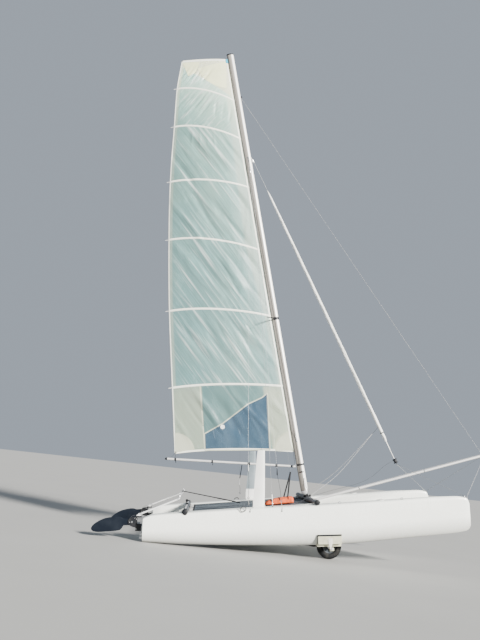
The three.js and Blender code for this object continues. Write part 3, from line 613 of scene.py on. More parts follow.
# height, chord, leading edge, thickness
boardRows = np.array([
    [-0.612, 0.120, -0.040, 0.016], [-0.590, 0.168, -0.014, 0.026], [-0.5, 0.197, 0.0, 0.034],
    [0.110, 0.197, 0.0, 0.034], [0.210, 0.187, 0.0, 0.033], [0.480, 0.163, 0.0, 0.030],
    [0.915, 0.1215, -0.001, 0.024], [0.932, 0.110, -0.005, 0.017],
])


def hullColumn(x, column):
    return through(hullStations[:, 0], hullStations[:, column], np.atleast_1d(x))[:, 0]


def halfBeam(x):
    return float(hullColumn(x, 1)[0])


def deckEdge(x):
    return float(hullColumn(x, 3)[0])


def crown(x):
    return float(hullColumn(x, 4)[0])


def hullRings():
    # deck arc to the edge, a flare easing to the widest line, then a superellipse down to the keel
    x = np.concatenate([np.linspace(0, 5.3, hull["rows"] - 30),
        5.3 + 0.248 * np.sin(np.linspace(0, np.pi / 2, 31)[1:])])
    half, keel, sheer, crown, full = (hullColumn(x, i)[:, None] for i in range(1, 6))
    wide = keel + hull["widest"] * (sheer - keel)
    t = np.linspace(0, 1, hull["deckPoints"])[None, :] ** 0.7
    deckY = half * hull["deckEdge"] * t
    deckZ = sheer + (crown - sheer) * np.sqrt(1 - t**2)
    s = np.linspace(0, 1, hull["sidePoints"])[None, 1:]
    sideY = half * (hull["deckEdge"] + (1 - hull["deckEdge"]) * np.sin(np.pi / 2 * s))
    sideZ = sheer + (wide - sheer) * s
    a = np.pi / 2 * np.linspace(0, 1, hull["bilgePoints"])[None, 1:]
    bilgeY = half * np.maximum(np.cos(a), 0) ** (2 / full)
    bilgeZ = wide - (wide - keel) * np.sin(a) ** (2 / full)
    y = np.concatenate([deckY, sideY, bilgeY], 1)
    z = np.concatenate([deckZ, sideZ, bilgeZ], 1)
    y = np.concatenate([y, -y[:, -2:0:-1]], 1)
    z = np.concatenate([z, z[:, -2:0:-1]], 1)
    lean = np.where(x[:, None] < 0.001, 0.02 * z / 0.375, 0.0)
    points = np.stack([x[:, None] + lean, y, z], -1)
    height = (z - keel) / (sheer - keel)
    girth = np.stack([np.broadcast_to(x[:, None], z.shape), height, np.zeros_like(z)], -1)
    return points, girth


def foil(chord, thickness, lead, height, count=17):
    # the usual aerofoil thickness formula, bunched towards the nose, both sides of the chord line
    u = (1 - np.cos(np.linspace(0, np.pi, count))) / 2
    half = 5 * thickness[:, None] * (0.2969 * np.sqrt(u) - 0.126 * u - 0.3516 * u**2 + 0.2843 * u**3
        - 0.1036 * u**4)
    x = lead[:, None] - u * chord[:, None]
    z = np.broadcast_to(height[:, None], x.shape)
    return np.stack([np.concatenate([x, x[:, -2:0:-1]], 1), np.concatenate([half, -half[:, -2:0:-1]], 1),
        np.concatenate([z, z[:, -2:0:-1]], 1)], -1)


def slotRings(grow, heights):
    # a long slot with round ends around the board
    a = np.linspace(-np.pi / 2, np.pi / 2, 13)
    flat = board["thickness"] / 2 + grow
    long = board["chord"] / 2 + grow - flat
    x = np.concatenate([long + flat * np.cos(a), -long - flat * np.cos(a)]) - board["chord"] / 2
    y = np.concatenate([flat * np.sin(a), -flat * np.sin(a)])
    return np.stack([np.stack([x, y, np.full_like(x, h)], -1) for h in heights])


def makeHulls():
    points, girth = hullRings()
    for name, sign in sides.items():
        middle = toHull(sign)
        place = lambda p: onBoat(p + middle)
        piece = makePiece("hullShell_" + name, skin(points), "hull", "root", place, ["hull_" + name],
            params={"girth": girth.reshape(-1, 3)})
        cutBy(piece, skin(slotRings(board["lip"], [-0.9, 0.3])), lambda p: onBoard(p) + middle)
        for x, z in (beams["front"], beams["rear"]):
            cutBy(piece, tube([[x, sign * hullY - 0.3, z], [x, sign * hullY + 0.3, z]], beams["bore"], 40))
        piece.data.set_sharp_from_angle(angle=math.radians(smoothTo))
        # a gasket rim around the board's slot on the deck, following the deck's slope
        rimPath = tilted(slotRings(0.009, [0.0])[0], boardPlace)
        deck = crown(board["front"][0] - 0.1)
        slope = (crown(2.05) - crown(1.85)) / 0.2
        rimPath[:, 2] = deck + slope * (rimPath[:, 0] - 1.944) + 0.0015 - 0.9 * np.abs(rimPath[:, 1]) ** 2
        makePiece("trunkRim_" + name, tube(np.concatenate([rimPath, rimPath[:1]]), 0.0055, 10), "white", "root",
            place)
    print("hulls made")


def makeBoards():
    h = np.concatenate([np.linspace(-0.612, -0.5, 12), np.linspace(-0.45, 0.88, 40), np.linspace(0.895, 0.932, 7)])
    values = through(boardRows[:, 0], boardRows[:, 1:], h)
    rings = foil(values[:, 0], values[:, 2], values[:, 1], h)
    for name, sign in sides.items():
        middle = toHull(sign)
        place = lambda p: onBoard(p) + middle
        makePiece("daggerboardFoil_" + name, skin(rings), "board" if sign < 0 else "farBoard", "board_" + name,
            place, ["daggerboard_" + name])
        loop = rounded([[-0.045, 0, 0.915], [-0.047, 0, 0.937], [-0.062, 0, 0.952], [-0.08, 0, 0.944],
            [-0.083, 0, 0.915]], 24)
        makePiece("boardHandle_" + name, tube(loop, 0.0035, 10), "darkRope", "board_" + name, place)
    print("daggerboards made")


# beams and what they carry
beams = {
    "radius": 0.042, "bore": 0.0428, "half": 1.283, "front": (2.917, 0.579), "rear": (0.707, 0.462),
    "wrap": {"front": 46, "rear": 0}, "foot": {"front": -0.033, "rear": 0.0},
}


def makeBeams():
    r = beams["radius"]
    for name in ("front", "rear"):
        x, z = beams[name]
        shapes = [tube([[x, -beams["half"] + 0.006, z], [x, beams["half"] - 0.006, z]], r, 48)]
        if name == "front":
            shapes.append(block(x - r - 0.004, x - r + 0.004, -0.9, 0.9, z - 0.007, z + 0.007))
        makePiece(name + "BeamTube", shapes, "beamAlloy", stands=[name + "_beam"], edge=0.0012)
        capForm = [[0.0, 0.0165], [r * 0.5, 0.0155], [r * 0.86, 0.0115], [r + 0.001, 0.003], [r + 0.001, -0.03],
            [r - 0.0008, -0.03], [r - 0.0008, 0.0], [0.0, 0.0]]
        casting = [[r + 0.0012, -0.150], [r + 0.010, -0.146], [r + 0.013, -0.120], [r + 0.013, -0.060],
            [r + 0.009, -0.034], [r + 0.0012, -0.030]]
        tips = [((x, s * (beams["half"] - 0.0008), z), (0, s, 0)) for s in (-1, 1)]
        ends = [turnedProfile(capForm, at, way) for at, way in tips]
        if name == "rear":
            ends += [turnedProfile(casting, at, way, 40, True) for at, way in tips]
        makePiece(name + "BeamCaps", ends, "black")
        saddles, bolts = [], []
        for s in (-1, 1):
            for dy in (-0.075, 0.075):
                y = s * hullY + dy
                a = np.radians(np.linspace(-beams["wrap"][name], 180 + beams["wrap"][name], 25))
                arc = lambda q, w: np.stack([x + q * np.cos(a), np.full_like(a, y) + w, z + q * np.sin(a)], -1)
                corners = ((0.0026, -0.014), (0.0026, 0.014), (0.0044, 0.014), (0.0044, -0.014))
                saddles.append(skin(np.stack([arc(r + q, w) for q, w in corners], 1)))
                foot = z + beams["foot"][name]
                for e in (-1, 1):
                    saddles.append(slab(x + e * 0.048, 0.017, y, 0.014, foot - 0.003, foot + 0.002))
                    bolts.append(turnedProfile([[0.0, 0.007], [0.005, 0.0065], [0.0065, 0.003], [0.0065, 0.0],
                        [0.011, 0.0], [0.011, -0.0015], [0.0, -0.0015]], (x + e * 0.052, y, foot + 0.003),
                        (0, 0, 1), 18))
        makePiece(name + "BeamStraps", saddles + bolts, "steel")
    print("beams made")


trampolineSpec = {"aft": 0.804, "long": 2.083, "heights": (0.444, 0.5463), "sag": 0.014, "hem": 0.045,
    "grommets": 17}


def trampolineHeight(x):
    low, high = trampolineSpec["heights"]
    return low + (high - low) * (x - trampolineSpec["aft"]) / trampolineSpec["long"]


def trampolineEdge(x):
    return hullY - hull["deckEdge"] * hullColumn(x, 1) - 0.003


def trampolinePoints(s, t, lift=0.0):
    # x runs from aft to front with s, y across to the hulls with t; the middle sags as a product of two arches
    x = trampolineSpec["aft"] + trampolineSpec["long"] * s
    edge = np.interp(x, np.linspace(0.7, 3.0, 24), trampolineEdge(np.linspace(0.7, 3.0, 24)))
    sag = trampolineSpec["sag"] * 4 * s * (1 - s) * (1 - t**2)
    pucker = 0.0025 * np.cos(np.pi * trampolineSpec["grommets"] * (t + 1)) * np.exp(-s / 0.03)
    z = trampolineHeight(x) - sag + pucker + lift
    return np.stack(np.broadcast_arrays(x, edge * t, z), -1)


def sheetShell(grid, half):
    # both faces of a grid, half a thickness either way, joined round the edge
    rows, columns = grid.shape[:2]
    top, low = (grid + half).reshape(-1, 3), (grid - half).reshape(-1, 3)
    cells = gridFaces(rows, columns)
    count = rows * columns
    index = np.arange(count).reshape(rows, columns)
    rim = np.concatenate([index[0, :-1], index[:-1, -1], index[-1, :0:-1], index[:0:-1, 0]])
    after = np.roll(rim, -1)
    band = np.stack([rim, rim + count, after + count, after], -1)
    faces = cells.tolist() + (cells[:, ::-1] + count).tolist() + band.tolist()
    return np.concatenate([top, low]), faces


def makeTrampoline():
    s, t = np.meshgrid(np.linspace(0, 1, 90), np.linspace(-1, 1, 91), indexing="ij")
    up = np.array([0, 0, 0.001])
    cloth = makePiece("trampolineCloth", sheetShell(trampolinePoints(s, t), up), "mesh", stands=["trampoline"])
    bands = []
    hemT = trampolineSpec["hem"]
    for s0, s1, t0, t1 in ((0, 0.022, -1, 1), (0.978, 1, -1, 1), (0, 1, -1, -1 + hemT), (0, 1, 1 - hemT, 1),
            (0, 1, -0.012, 0.012)):
        a, b = np.meshgrid(np.linspace(s0, s1, 70 if s1 - s0 > 0.5 else 3),
            np.linspace(t0, t1, 91 if t1 - t0 > 0.5 else 3), indexing="ij")
        for lift in (0.0016, -0.0016):
            bands.append(sheetShell(trampolinePoints(a, b, lift), up * 0.6))
    hem = makePiece("trampolineHem", bands, "webbing")
    straps = []
    for y in (-0.55, 0.55):
        a = np.linspace(0.02, 0.98, 60)
        x = trampolineSpec["aft"] + trampolineSpec["long"] * a
        rise = 0.006 + 0.028 * np.sin(np.pi * np.clip((a - 0.05) / 0.9, 0, 1)) ** 0.8
        z = trampolinePoints(a, np.full_like(a, y / 0.95))[:, 2] + rise
        grid = np.stack([np.stack([x, np.full_like(x, y + w), z], -1) for w in (-0.025, -0.012, 0.012, 0.025)], 1)
        straps.append(sheetShell(grid, up))
    toe = makePiece("toeStraps", straps, "webbing")
    width = 2 * float(trampolineEdge(1.8)[0])
    # lacing from the hem's eyelets to hooks on the rear beam, back and forth
    count = trampolineSpec["grommets"]
    y = np.linspace(-0.86, 0.86, 2 * count + 1)
    eyeX, eyeZ = 0.8185, trampolineHeight(0.8185)
    hookX, hookZ = 0.7505, beams["rear"][1]
    atEye = np.arange(2 * count + 1) % 2 == 0
    x = np.where(atEye, eyeX, hookX + 0.003)
    z = np.where(atEye, eyeZ + 0.004, hookZ)
    lace = rounded(np.stack([x, y, z], -1), 24 * count)
    makePiece("trampolineLacing", tube(lace, 0.0023, 8), "lightRope")
    eyes, hooks = [], []
    eyeForm = [[0.0045, 0.004], [0.008, 0.0035], [0.010, 0.0015], [0.010, -0.0035], [0.0045, -0.004]]
    hookForm = [[0.0, 0.010], [0.006, 0.009], [0.0075, 0.006], [0.0035, 0.004], [0.0035, 0.0], [0.009, -0.001],
        [0.009, -0.004], [0.0, -0.004]]
    for place in y[::2]:
        eyes.append(turnedProfile(eyeForm, (eyeX, place, eyeZ), (0, 0, 1), 16, True))
    for place in y[1::2]:
        hooks.append(turnedProfile(hookForm, (hookX, place, hookZ), (1, 0, 0), 14))
    makePiece("laceEyelets", eyes, "steel")
    makePiece("laceHooks", hooks, "black")
    print("trampoline made")


# mast, sail and boom, in the mast's own place: x forward of its foot, z up along it
mastSpec = {
    "length": 9.030, "nose": 0.055, "base": 0.0703, "band": (0.5305, 0.5655), "spreader": 3.354,
    "collar": (3.326, 3.382), "hounds": 6.7,
}
mastHalf = [[0.055, 0.0], [0.0535, 0.009], [0.046, 0.018], [0.036, 0.0258], [0.025, 0.031], [0.010, 0.0342],
    [-0.005, 0.035], [-0.022, 0.0333], [-0.040, 0.030], [-0.054, 0.0245], [-0.066, 0.018], [-0.0745, 0.0122],
    [-0.0795, 0.0075]]
boomSpec = {"pivot": -0.104, "gooseneck": 0.534, "end": (-2.486, 1.051), "radius": 0.021}
# luff height, leech x, leech height, camber
sailRows = np.array([
    [0.800, -2.289, 1.114, 0.015], [2.043, -2.170, 2.328, 0.070], [3.417, -2.022, 3.805, 0.110],
    [4.760, -1.834, 5.224, 0.120],
    [6.085, -1.640, 6.420, 0.115], [7.140, -1.395, 7.587, 0.095], [7.994, -1.218, 8.416, 0.070],
    [8.520, -1.103, 8.788, 0.050], [8.930, -1.030, 9.015, 0.035],
])
sailSpec = {"luff": -0.0812, "rows": 300, "columns": 150, "half": 0.0009, "perPanel": (9, 8, 8, 8, 7),
    "groups": ((5.55, 0.46, 0.90, 6, -47.0, 0.021, 0.025, 0.27), (6.75, 0.46, 0.93, 6, -44.0, 0.019, 0.023, 0.19),
    (4.72, 0.40, 0.72, 4, -6.0, -0.008, 0.026, 0.16), (5.5, 0.12, 0.34, 3, -14.0, 0.010, 0.030, 0.20))}
windowOutline = np.array([[-1.725, 1.085], [-1.690, 1.385], [-1.325, 1.520], [-0.794, 1.806], [-0.516, 1.885],
    [-0.400, 1.955], [-0.520, 0.905]])


def sailMark(v):
    # the four numbers of a row, v from 0 at the foot to 8 at the head
    return through(np.arange(9), sailRows, np.clip(v, 0, 8).ravel()).reshape(np.shape(v) + (4,))


def rise(u, v):
    # a row's height across the sail, 1 - (1 - u)^p, where p falls from 1.6 to 1 above the last batten
    return 1 - (1 - np.clip(u, 0, 1)) ** (1.6 - 0.6 * np.clip((v - 7.0) / 0.9, 0, 1))


def onRow(mark, u, v):
    # x and z at u across a row of the sail: even in x, rising in a curve in z
    x = sailSpec["luff"] + (mark[..., 1] - sailSpec["luff"]) * u
    z = mark[..., 0] + (mark[..., 2] - mark[..., 0]) * rise(u, v)
    return x, z


def layFolds():
    # each fold: middle x and z, slant in degrees off the mast, height, width and half length
    pick = np.random.default_rng(11)
    rows = []
    for panel, count in enumerate(sailSpec["perPanel"]):
        at = (np.arange(count) + 0.5 + pick.uniform(-0.28, 0.28, count)) / count
        level = panel + pick.uniform(0.28, 0.72, count)
        x, z = onRow(sailMark(level), at, level)
        slant = 28.0 + pick.uniform(-5, 5, count)
        broad = np.arange(count) % 2 == 0
        height = np.where(broad, pick.uniform(0.020, 0.034, count), pick.uniform(0.007, 0.013, count))
        width = np.where(broad, pick.uniform(0.045, 0.075, count), pick.uniform(0.016, 0.028, count))
        rows.append(np.stack([x, z, slant, height * pick.choice([-1, 1], count, p=[0.3, 0.7]), width,
            pick.uniform(0.35, 0.75, count)], -1))
    # groups at one level of the sail: level, first and last place across, count, slant, height, width, half length
    for level, first, last, count, slant, height, width, length in sailSpec["groups"]:
        at = np.linspace(first, last, count)
        x, z = onRow(sailMark(np.full(count, level)), at, level)
        rows.append(np.stack([x, z, np.full(count, slant), height * np.where(np.arange(count) % 3 == 1, 0.55, 1.0),
            np.full(count, width), length * pick.uniform(0.8, 1.15, count)], -1))
    # sharp short streaks just above the second batten
    x = np.linspace(-1.70, -0.50, 7)
    rows.append(np.stack([x, 3.30 - 0.30 * (x + 1.1), np.full(7, 24.0), np.linspace(0.007, 0.011, 7),
        np.full(7, 0.020), np.full(7, 0.22)], -1))
    return np.concatenate(rows)


foldTable = layFolds()


def folds(x, z, u, v):
    # a sum of ridges h exp(-(q/w)^2 - (p/l)^4), q square to the fold and p along it, 0 at the luff, leech and foot
    within = np.clip(np.sin(np.pi * np.clip(u, 0, 1)), 0, 1) ** 0.45
    foot = np.clip((v - 0.02) / 0.3, 0, 1) * np.clip((8.0 - v) / 0.4, 0, 1)
    total = np.zeros(np.shape(x))
    for cx, cz, slant, height, width, length in foldTable:
        c, s = math.cos(math.radians(slant)), math.sin(math.radians(slant))
        q = (x - cx) * c + (z - cz) * s
        q = q + 0.012 * np.sin(7.0 * (z - cz) + 9.0 * cx)
        p = -(x - cx) * s + (z - cz) * c
        total = total + height * np.exp(-((q / width) ** 2) - (p / length) ** 4)
    return total * within * foot


def sailSurface(u, v):
    # each row runs from the luff to the leech, rising in a curve and bowed to starboard by its camber, plus folds
    mark = sailMark(v)
    x, z = onRow(mark, u, v)
    y = -mark[..., 3] * 3.8 * np.clip(u, 0, 1) ** 0.8 * (1 - np.clip(u, 0, 1))
    return np.stack([x, y + folds(x, z, u, v), z], -1)


def sailAt(x, z, lift=0.0):
    # the point of the sail with this x and z, found by halving the range of v, lifted sideways
    x, z = np.broadcast_arrays(np.asarray(x, float), np.asarray(z, float))
    low, high = np.full(x.shape, -0.001), np.full(x.shape, 8.001)
    for _ in range(26):
        v = (low + high) / 2
        mark = sailMark(v)
        u = (x - sailSpec["luff"]) / (mark[..., 1] - sailSpec["luff"])
        above = onRow(mark, u, v)[1] > z
        low, high = np.where(above, low, v), np.where(above, v, high)
    point = sailSurface(u, v)
    return np.stack([x, point[..., 1] + lift, z], -1)


def sailBand(line, width, lift, count=120, taper=0.0):
    # a band along a line on the sail: the line's points shifted square to it in the sail's plane
    line = np.asarray(line, float)
    knots = np.concatenate([[0.0], np.cumsum(np.linalg.norm(np.diff(line, axis=0), axis=1))])
    at = np.linspace(0, knots[-1], count)
    path = np.stack([np.interp(at, knots, line[:, 0]), np.interp(at, knots, line[:, 1])], -1)
    along = np.gradient(path, axis=0)
    along /= np.linalg.norm(along, axis=1)[:, None]
    square = np.stack([-along[:, 1], along[:, 0]], -1)
    size = width * (1 - taper * np.linspace(0, 1, count))[:, None] / 2
    shapes = []
    for side in (-1, 1):
        rows = np.stack([path + square * size * k for k in (-1, -0.5, 0, 0.5, 1)], 1)
        grid = sailAt(rows[..., 0], rows[..., 1], side * lift)
        shapes.append(sheetShell(grid, (0, 0.0004, 0)))
    return joined(*shapes)


def sailFan(corner, radii, start, stop, lift):
    # nested fans about a corner, each one lower in radius and higher off the cloth
    shapes = []
    for i, radius in enumerate(radii):
        for side in (-1, 1):
            r, a = np.meshgrid(np.linspace(0.02, 1, 22) * radius, np.radians(np.linspace(start, stop, 25)),
                indexing="ij")
            x = np.clip(corner[0] + r * np.cos(a), -2.4, sailSpec["luff"] - 0.001)
            grid = sailAt(x, corner[1] + r * np.sin(a), side * (lift + 0.0006 * i))
            shapes.append(sheetShell(grid, (0, 0.0002, 0)))
    return joined(*shapes)


def creamAmount(u, v, x, z):
    # 1 on the luff, leech and foot bands and in the corner panels, 0 on the clear cloth
    soft = lambda value, edge, width: np.clip((edge - value) / width, 0, 1)
    fromLeech = (1 - u) * np.interp(v, [0, 8], [2.2, 0.95])
    fromLuff = u * np.interp(v, [0, 8], [2.2, 0.95])
    luffBand = np.interp(v, [0, 0.97, 1.02, 2, 3, 5, 8], [0.42, 0.40, 0.10, 0.16, 0.30, 0.22, 0.12])
    headLine = 8.87 - 0.85 * (x + 1.03) / 0.95
    return np.maximum.reduce([
        0.35 * soft(fromLeech, 0.070, 0.02),
        0.5 * soft(fromLeech, np.where(v < 1.0, 0.56, 0.085), 0.02),
        np.where(v < 0.995, 0.62, 0.42) * soft(fromLuff, luffBand, 0.05),
        0.9 * np.clip((z - headLine) / 0.03, 0, 1),
        0.85 * soft(np.hypot(x + 0.08, z - 0.8), 0.42, 0.03),
        0.9 * soft(np.hypot(x + 2.289, z - 1.114), 0.40, 0.03),
    ])


def prism(outline, grow, depth=0.3):
    # the outline carried from one side of the sail to the other, its corners pushed out from the middle
    middle = outline.mean(0)
    reach = np.linalg.norm(outline - middle, axis=1)[:, None]
    corners = middle + (outline - middle) * (reach + grow) / reach
    return skin(np.stack([np.stack([corners[:, 0], np.full(len(corners), y), corners[:, 1]], -1)
        for y in (-depth, depth)]))


def makeSail():
    v, u = np.meshgrid(np.linspace(0, 8, sailSpec["rows"]), np.linspace(0, 1, sailSpec["columns"]), indexing="ij")
    grid = sailSurface(u, v)
    cream = creamAmount(u, v, grid[..., 0], grid[..., 2])
    attribute = np.tile(np.stack([u, v, cream], -1).reshape(-1, 3), (2, 1))
    points, faces = sheetShell(grid, np.array([0, sailSpec["half"], 0]))
    sail = makePiece("mainsailCloth", (points, faces), "cloth", "sail", onMast, ["mainsail"],
        params={"cloth": attribute})
    cutBy(sail, prism(windowOutline, 0.0), onMast)
    sail.data.set_sharp_from_angle(angle=math.radians(smoothTo))
    points, faces = sheetShell(grid[0:72], (0, 0.0003, 0))
    window = makePiece("mainsailWindow", (points, faces), "film", "sail", onMast, ["sail_window"])
    cutBy(window, prism(windowOutline, 0.02), onMast, "INTERSECT")
    window.data.shade_smooth()
    seams = [sailBand([a, b], 0.020, 0.0019, 40) for a, b in zip(windowOutline, np.roll(windowOutline, -1, axis=0))]
    # batten pockets and the battens' ends at the leech
    pockets, tips = [], []
    for row in range(1, 7):
        t = np.linspace(0.002, 0.998, 90)
        line = sailSurface(t, np.full(90, float(row)))
        rows = np.stack([line + [0, 0, dz] for dz in (-0.019, -0.0155, -0.008, 0.0, 0.008, 0.0155, 0.019)], 1)
        puff = np.array([0.0012, 0.0015, 0.0038, 0.005, 0.0038, 0.0015, 0.0012])
        rows = sailAt(rows[..., 0], rows[..., 2])
        for side in (-1, 1):
            pockets.append(sheetShell(rows + side * puff[:, None] * [0, 1, 0], (0, 0.0004, 0)))
        end, drop = line[-1], toward(line[-3], line[-1])
        tips.append(tube(np.stack([end - drop * 0.05, end + drop * 0.012, end + drop * 0.068, end + drop * 0.072]),
            [0.0075, 0.0075, 0.0070, 0.0040], 12))
    pocketPiece = makePiece("battenPockets", pockets, "pocket", "sail", onMast)
    tipPiece = makePiece("battenTips", tips, "white", "sail", onMast)
    leech = sailSurface(np.full(200, 0.994), np.linspace(0, 8, 200))
    luffLine = np.stack([np.full(200, sailSpec["luff"] - 0.026), np.linspace(0.83, 8.915, 200)], -1)
    foot = sailSurface(np.linspace(0.01, 0.99, 80), np.full(80, 0.008))
    head = sailSurface(np.linspace(0.02, 0.98, 60), np.full(60, 7.985))
    edges = ((leech[:, ::2], 0.019), (luffLine, 0.026), (foot[:, ::2], 0.034), (head[:, ::2], 0.045))
    tapes = [sailBand(line, width, 0.0017, 200) for line, width in edges]
    seams.append(sailBand(sailSurface(np.full(60, 0.745), np.linspace(0.01, 0.985, 60))[:, ::2], 0.022, 0.0014, 60))
    tape = makePiece("sailTapes", tapes, "pocket", "sail", onMast)
    fans = [sailFan((-0.095, 0.82), (0.34, 0.25, 0.16), 98, 172, 0.0022),
        sailFan((-2.275, 1.125), (0.36, 0.26, 0.17), 2, 84, 0.0022),
        sailFan((-0.12, 8.90), (0.62, 0.46, 0.30), 190, 262, 0.0022),
        sailFan((-1.02, 8.985), (0.34, 0.24), 282, 352, 0.0024)]
    patches = makePiece("cornerPatches", fans[:2] + seams, "patch", "sail", onMast)
    headFans = makePiece("headPatches", fans[2:], "headPatch", "sail", onMast)
    # the round white patch on the window
    dot = np.meshgrid(np.linspace(0, 0.041, 6), np.linspace(0, 2 * np.pi, 41), indexing="ij")
    discs = [sheetShell(sailAt(-1.335 + dot[0] * np.cos(dot[1]), 1.458 + dot[0] * np.sin(dot[1]), side * 0.003),
        (0, 0.0004, 0)) for side in (-1, 1)]
    makePiece("roundPatch", discs, "white", "sail", onMast)
    print("mainsail made")


def boomAt(t):
    start = np.array([boomSpec["pivot"] - 0.034, 0.0, boomSpec["gooseneck"] + 0.002])
    end = np.array([boomSpec["end"][0], 0.0, boomSpec["end"][1]])
    return start + (end - start) * np.asarray(t, float)[..., None]


def boomX(x):
    return boomAt((x - boomSpec["pivot"] + 0.034) / (boomSpec["end"][0] - boomSpec["pivot"] + 0.034))


def makeBoom():
    r = boomSpec["radius"]
    bar = tube(boomAt(np.linspace(0.004, 0.993, 2)), r, 36)
    toggle = block(boomSpec["pivot"] - 0.036, boomSpec["pivot"] - 0.006, -0.009, 0.009, 0.520, 0.548)
    makePiece("boomTube", [bar, toggle], "mastAlloy", "sail", onMast, ["boom"], edge=0.001)
    axis = boomAt(1.0) - boomAt(0.0)
    ends = [turnedProfile([[0.0, 0.012], [r * 0.6, 0.011], [r, 0.004], [r + 0.0012, -0.03], [r - 0.0005, -0.03],
        [0.0, 0.0]], boomAt(0.991), axis)]
    ends.append(turnedProfile([[0.0, 0.006], [r * 0.6, 0.006], [r, 0.002], [r + 0.0014, -0.04], [r - 0.0005, -0.04],
        [0.0, 0.0]], boomAt(0.006), -axis))
    makePiece("boomCaps", ends, "black", "sail", onMast)
    straps = []
    for x, wide in ((-0.956, 0.045), (-0.450, 0.04), (-2.289, 0.035), (-1.62, 0.03)):
        middle = boomX(x)
        profile = [[r + 0.0005, -wide / 2], [r + 0.0035, -wide / 2], [r + 0.004, 0.0], [r + 0.0035, wide / 2],
            [r + 0.0005, wide / 2]]
        straps.append(turnedProfile(profile, middle, axis, 28, True))
        straps.append(tube([middle + [0, 0, -r - 0.001], middle + [0.0, 0, -r - 0.045]], 0.006, 10))
    makePiece("boomStraps", straps, "webbing", "sail", onMast)
    # the clew's strap and outhaul
    clew = np.array([-2.262, -0.002, 1.128])
    low = boomX(-2.289)
    loop = rounded([clew + [0, 0.004, 0.02], clew + [-0.012, 0.006, -0.02], low + [0, 0.024, 0.01],
        low + [0, 0.0, -0.025], low + [0, -0.024, 0.01], clew + [-0.012, -0.010, -0.02], clew + [0, -0.009, 0.02]],
        60)
    outhaul = rounded([clew + [-0.01, 0, 0], boomX(-2.38) + [0, 0, 0.024], boomX(-2.46) + [0, 0, 0.022]], 30)
    tackTie = rounded([[-0.098, -0.006, 0.835], [-0.10, -0.012, 0.76], [-0.102, 0.0, 0.66], [-0.104, 0.010, 0.60],
        [-0.112, 0.0, 0.572]], 30)
    makePiece("sailTies", [tube(loop, 0.003, 8), tube(outhaul, 0.0025, 8), tube(tackTie, 0.003, 8)], "darkRope",
        "sail", onMast)
    rings = [turnedProfile(both([[0.010, 0.004], [0.0155, 0.0035], [0.0175, 0.0]]), c, (0, 1, 0), 24, True)
        for c in (clew, np.array([-0.100, -0.003, 0.845]), np.array([-0.12, -0.003, 8.915]))]
    makePiece("cornerRings", rings, "steel", "sail", onMast)
    headTag = block(-0.132, -0.086, -0.0170, 0.0030, 8.860, 8.945)
    makePiece("headTag", headTag, "blueTag", "sail", onMast, edge=0.002)
    print("boom made")


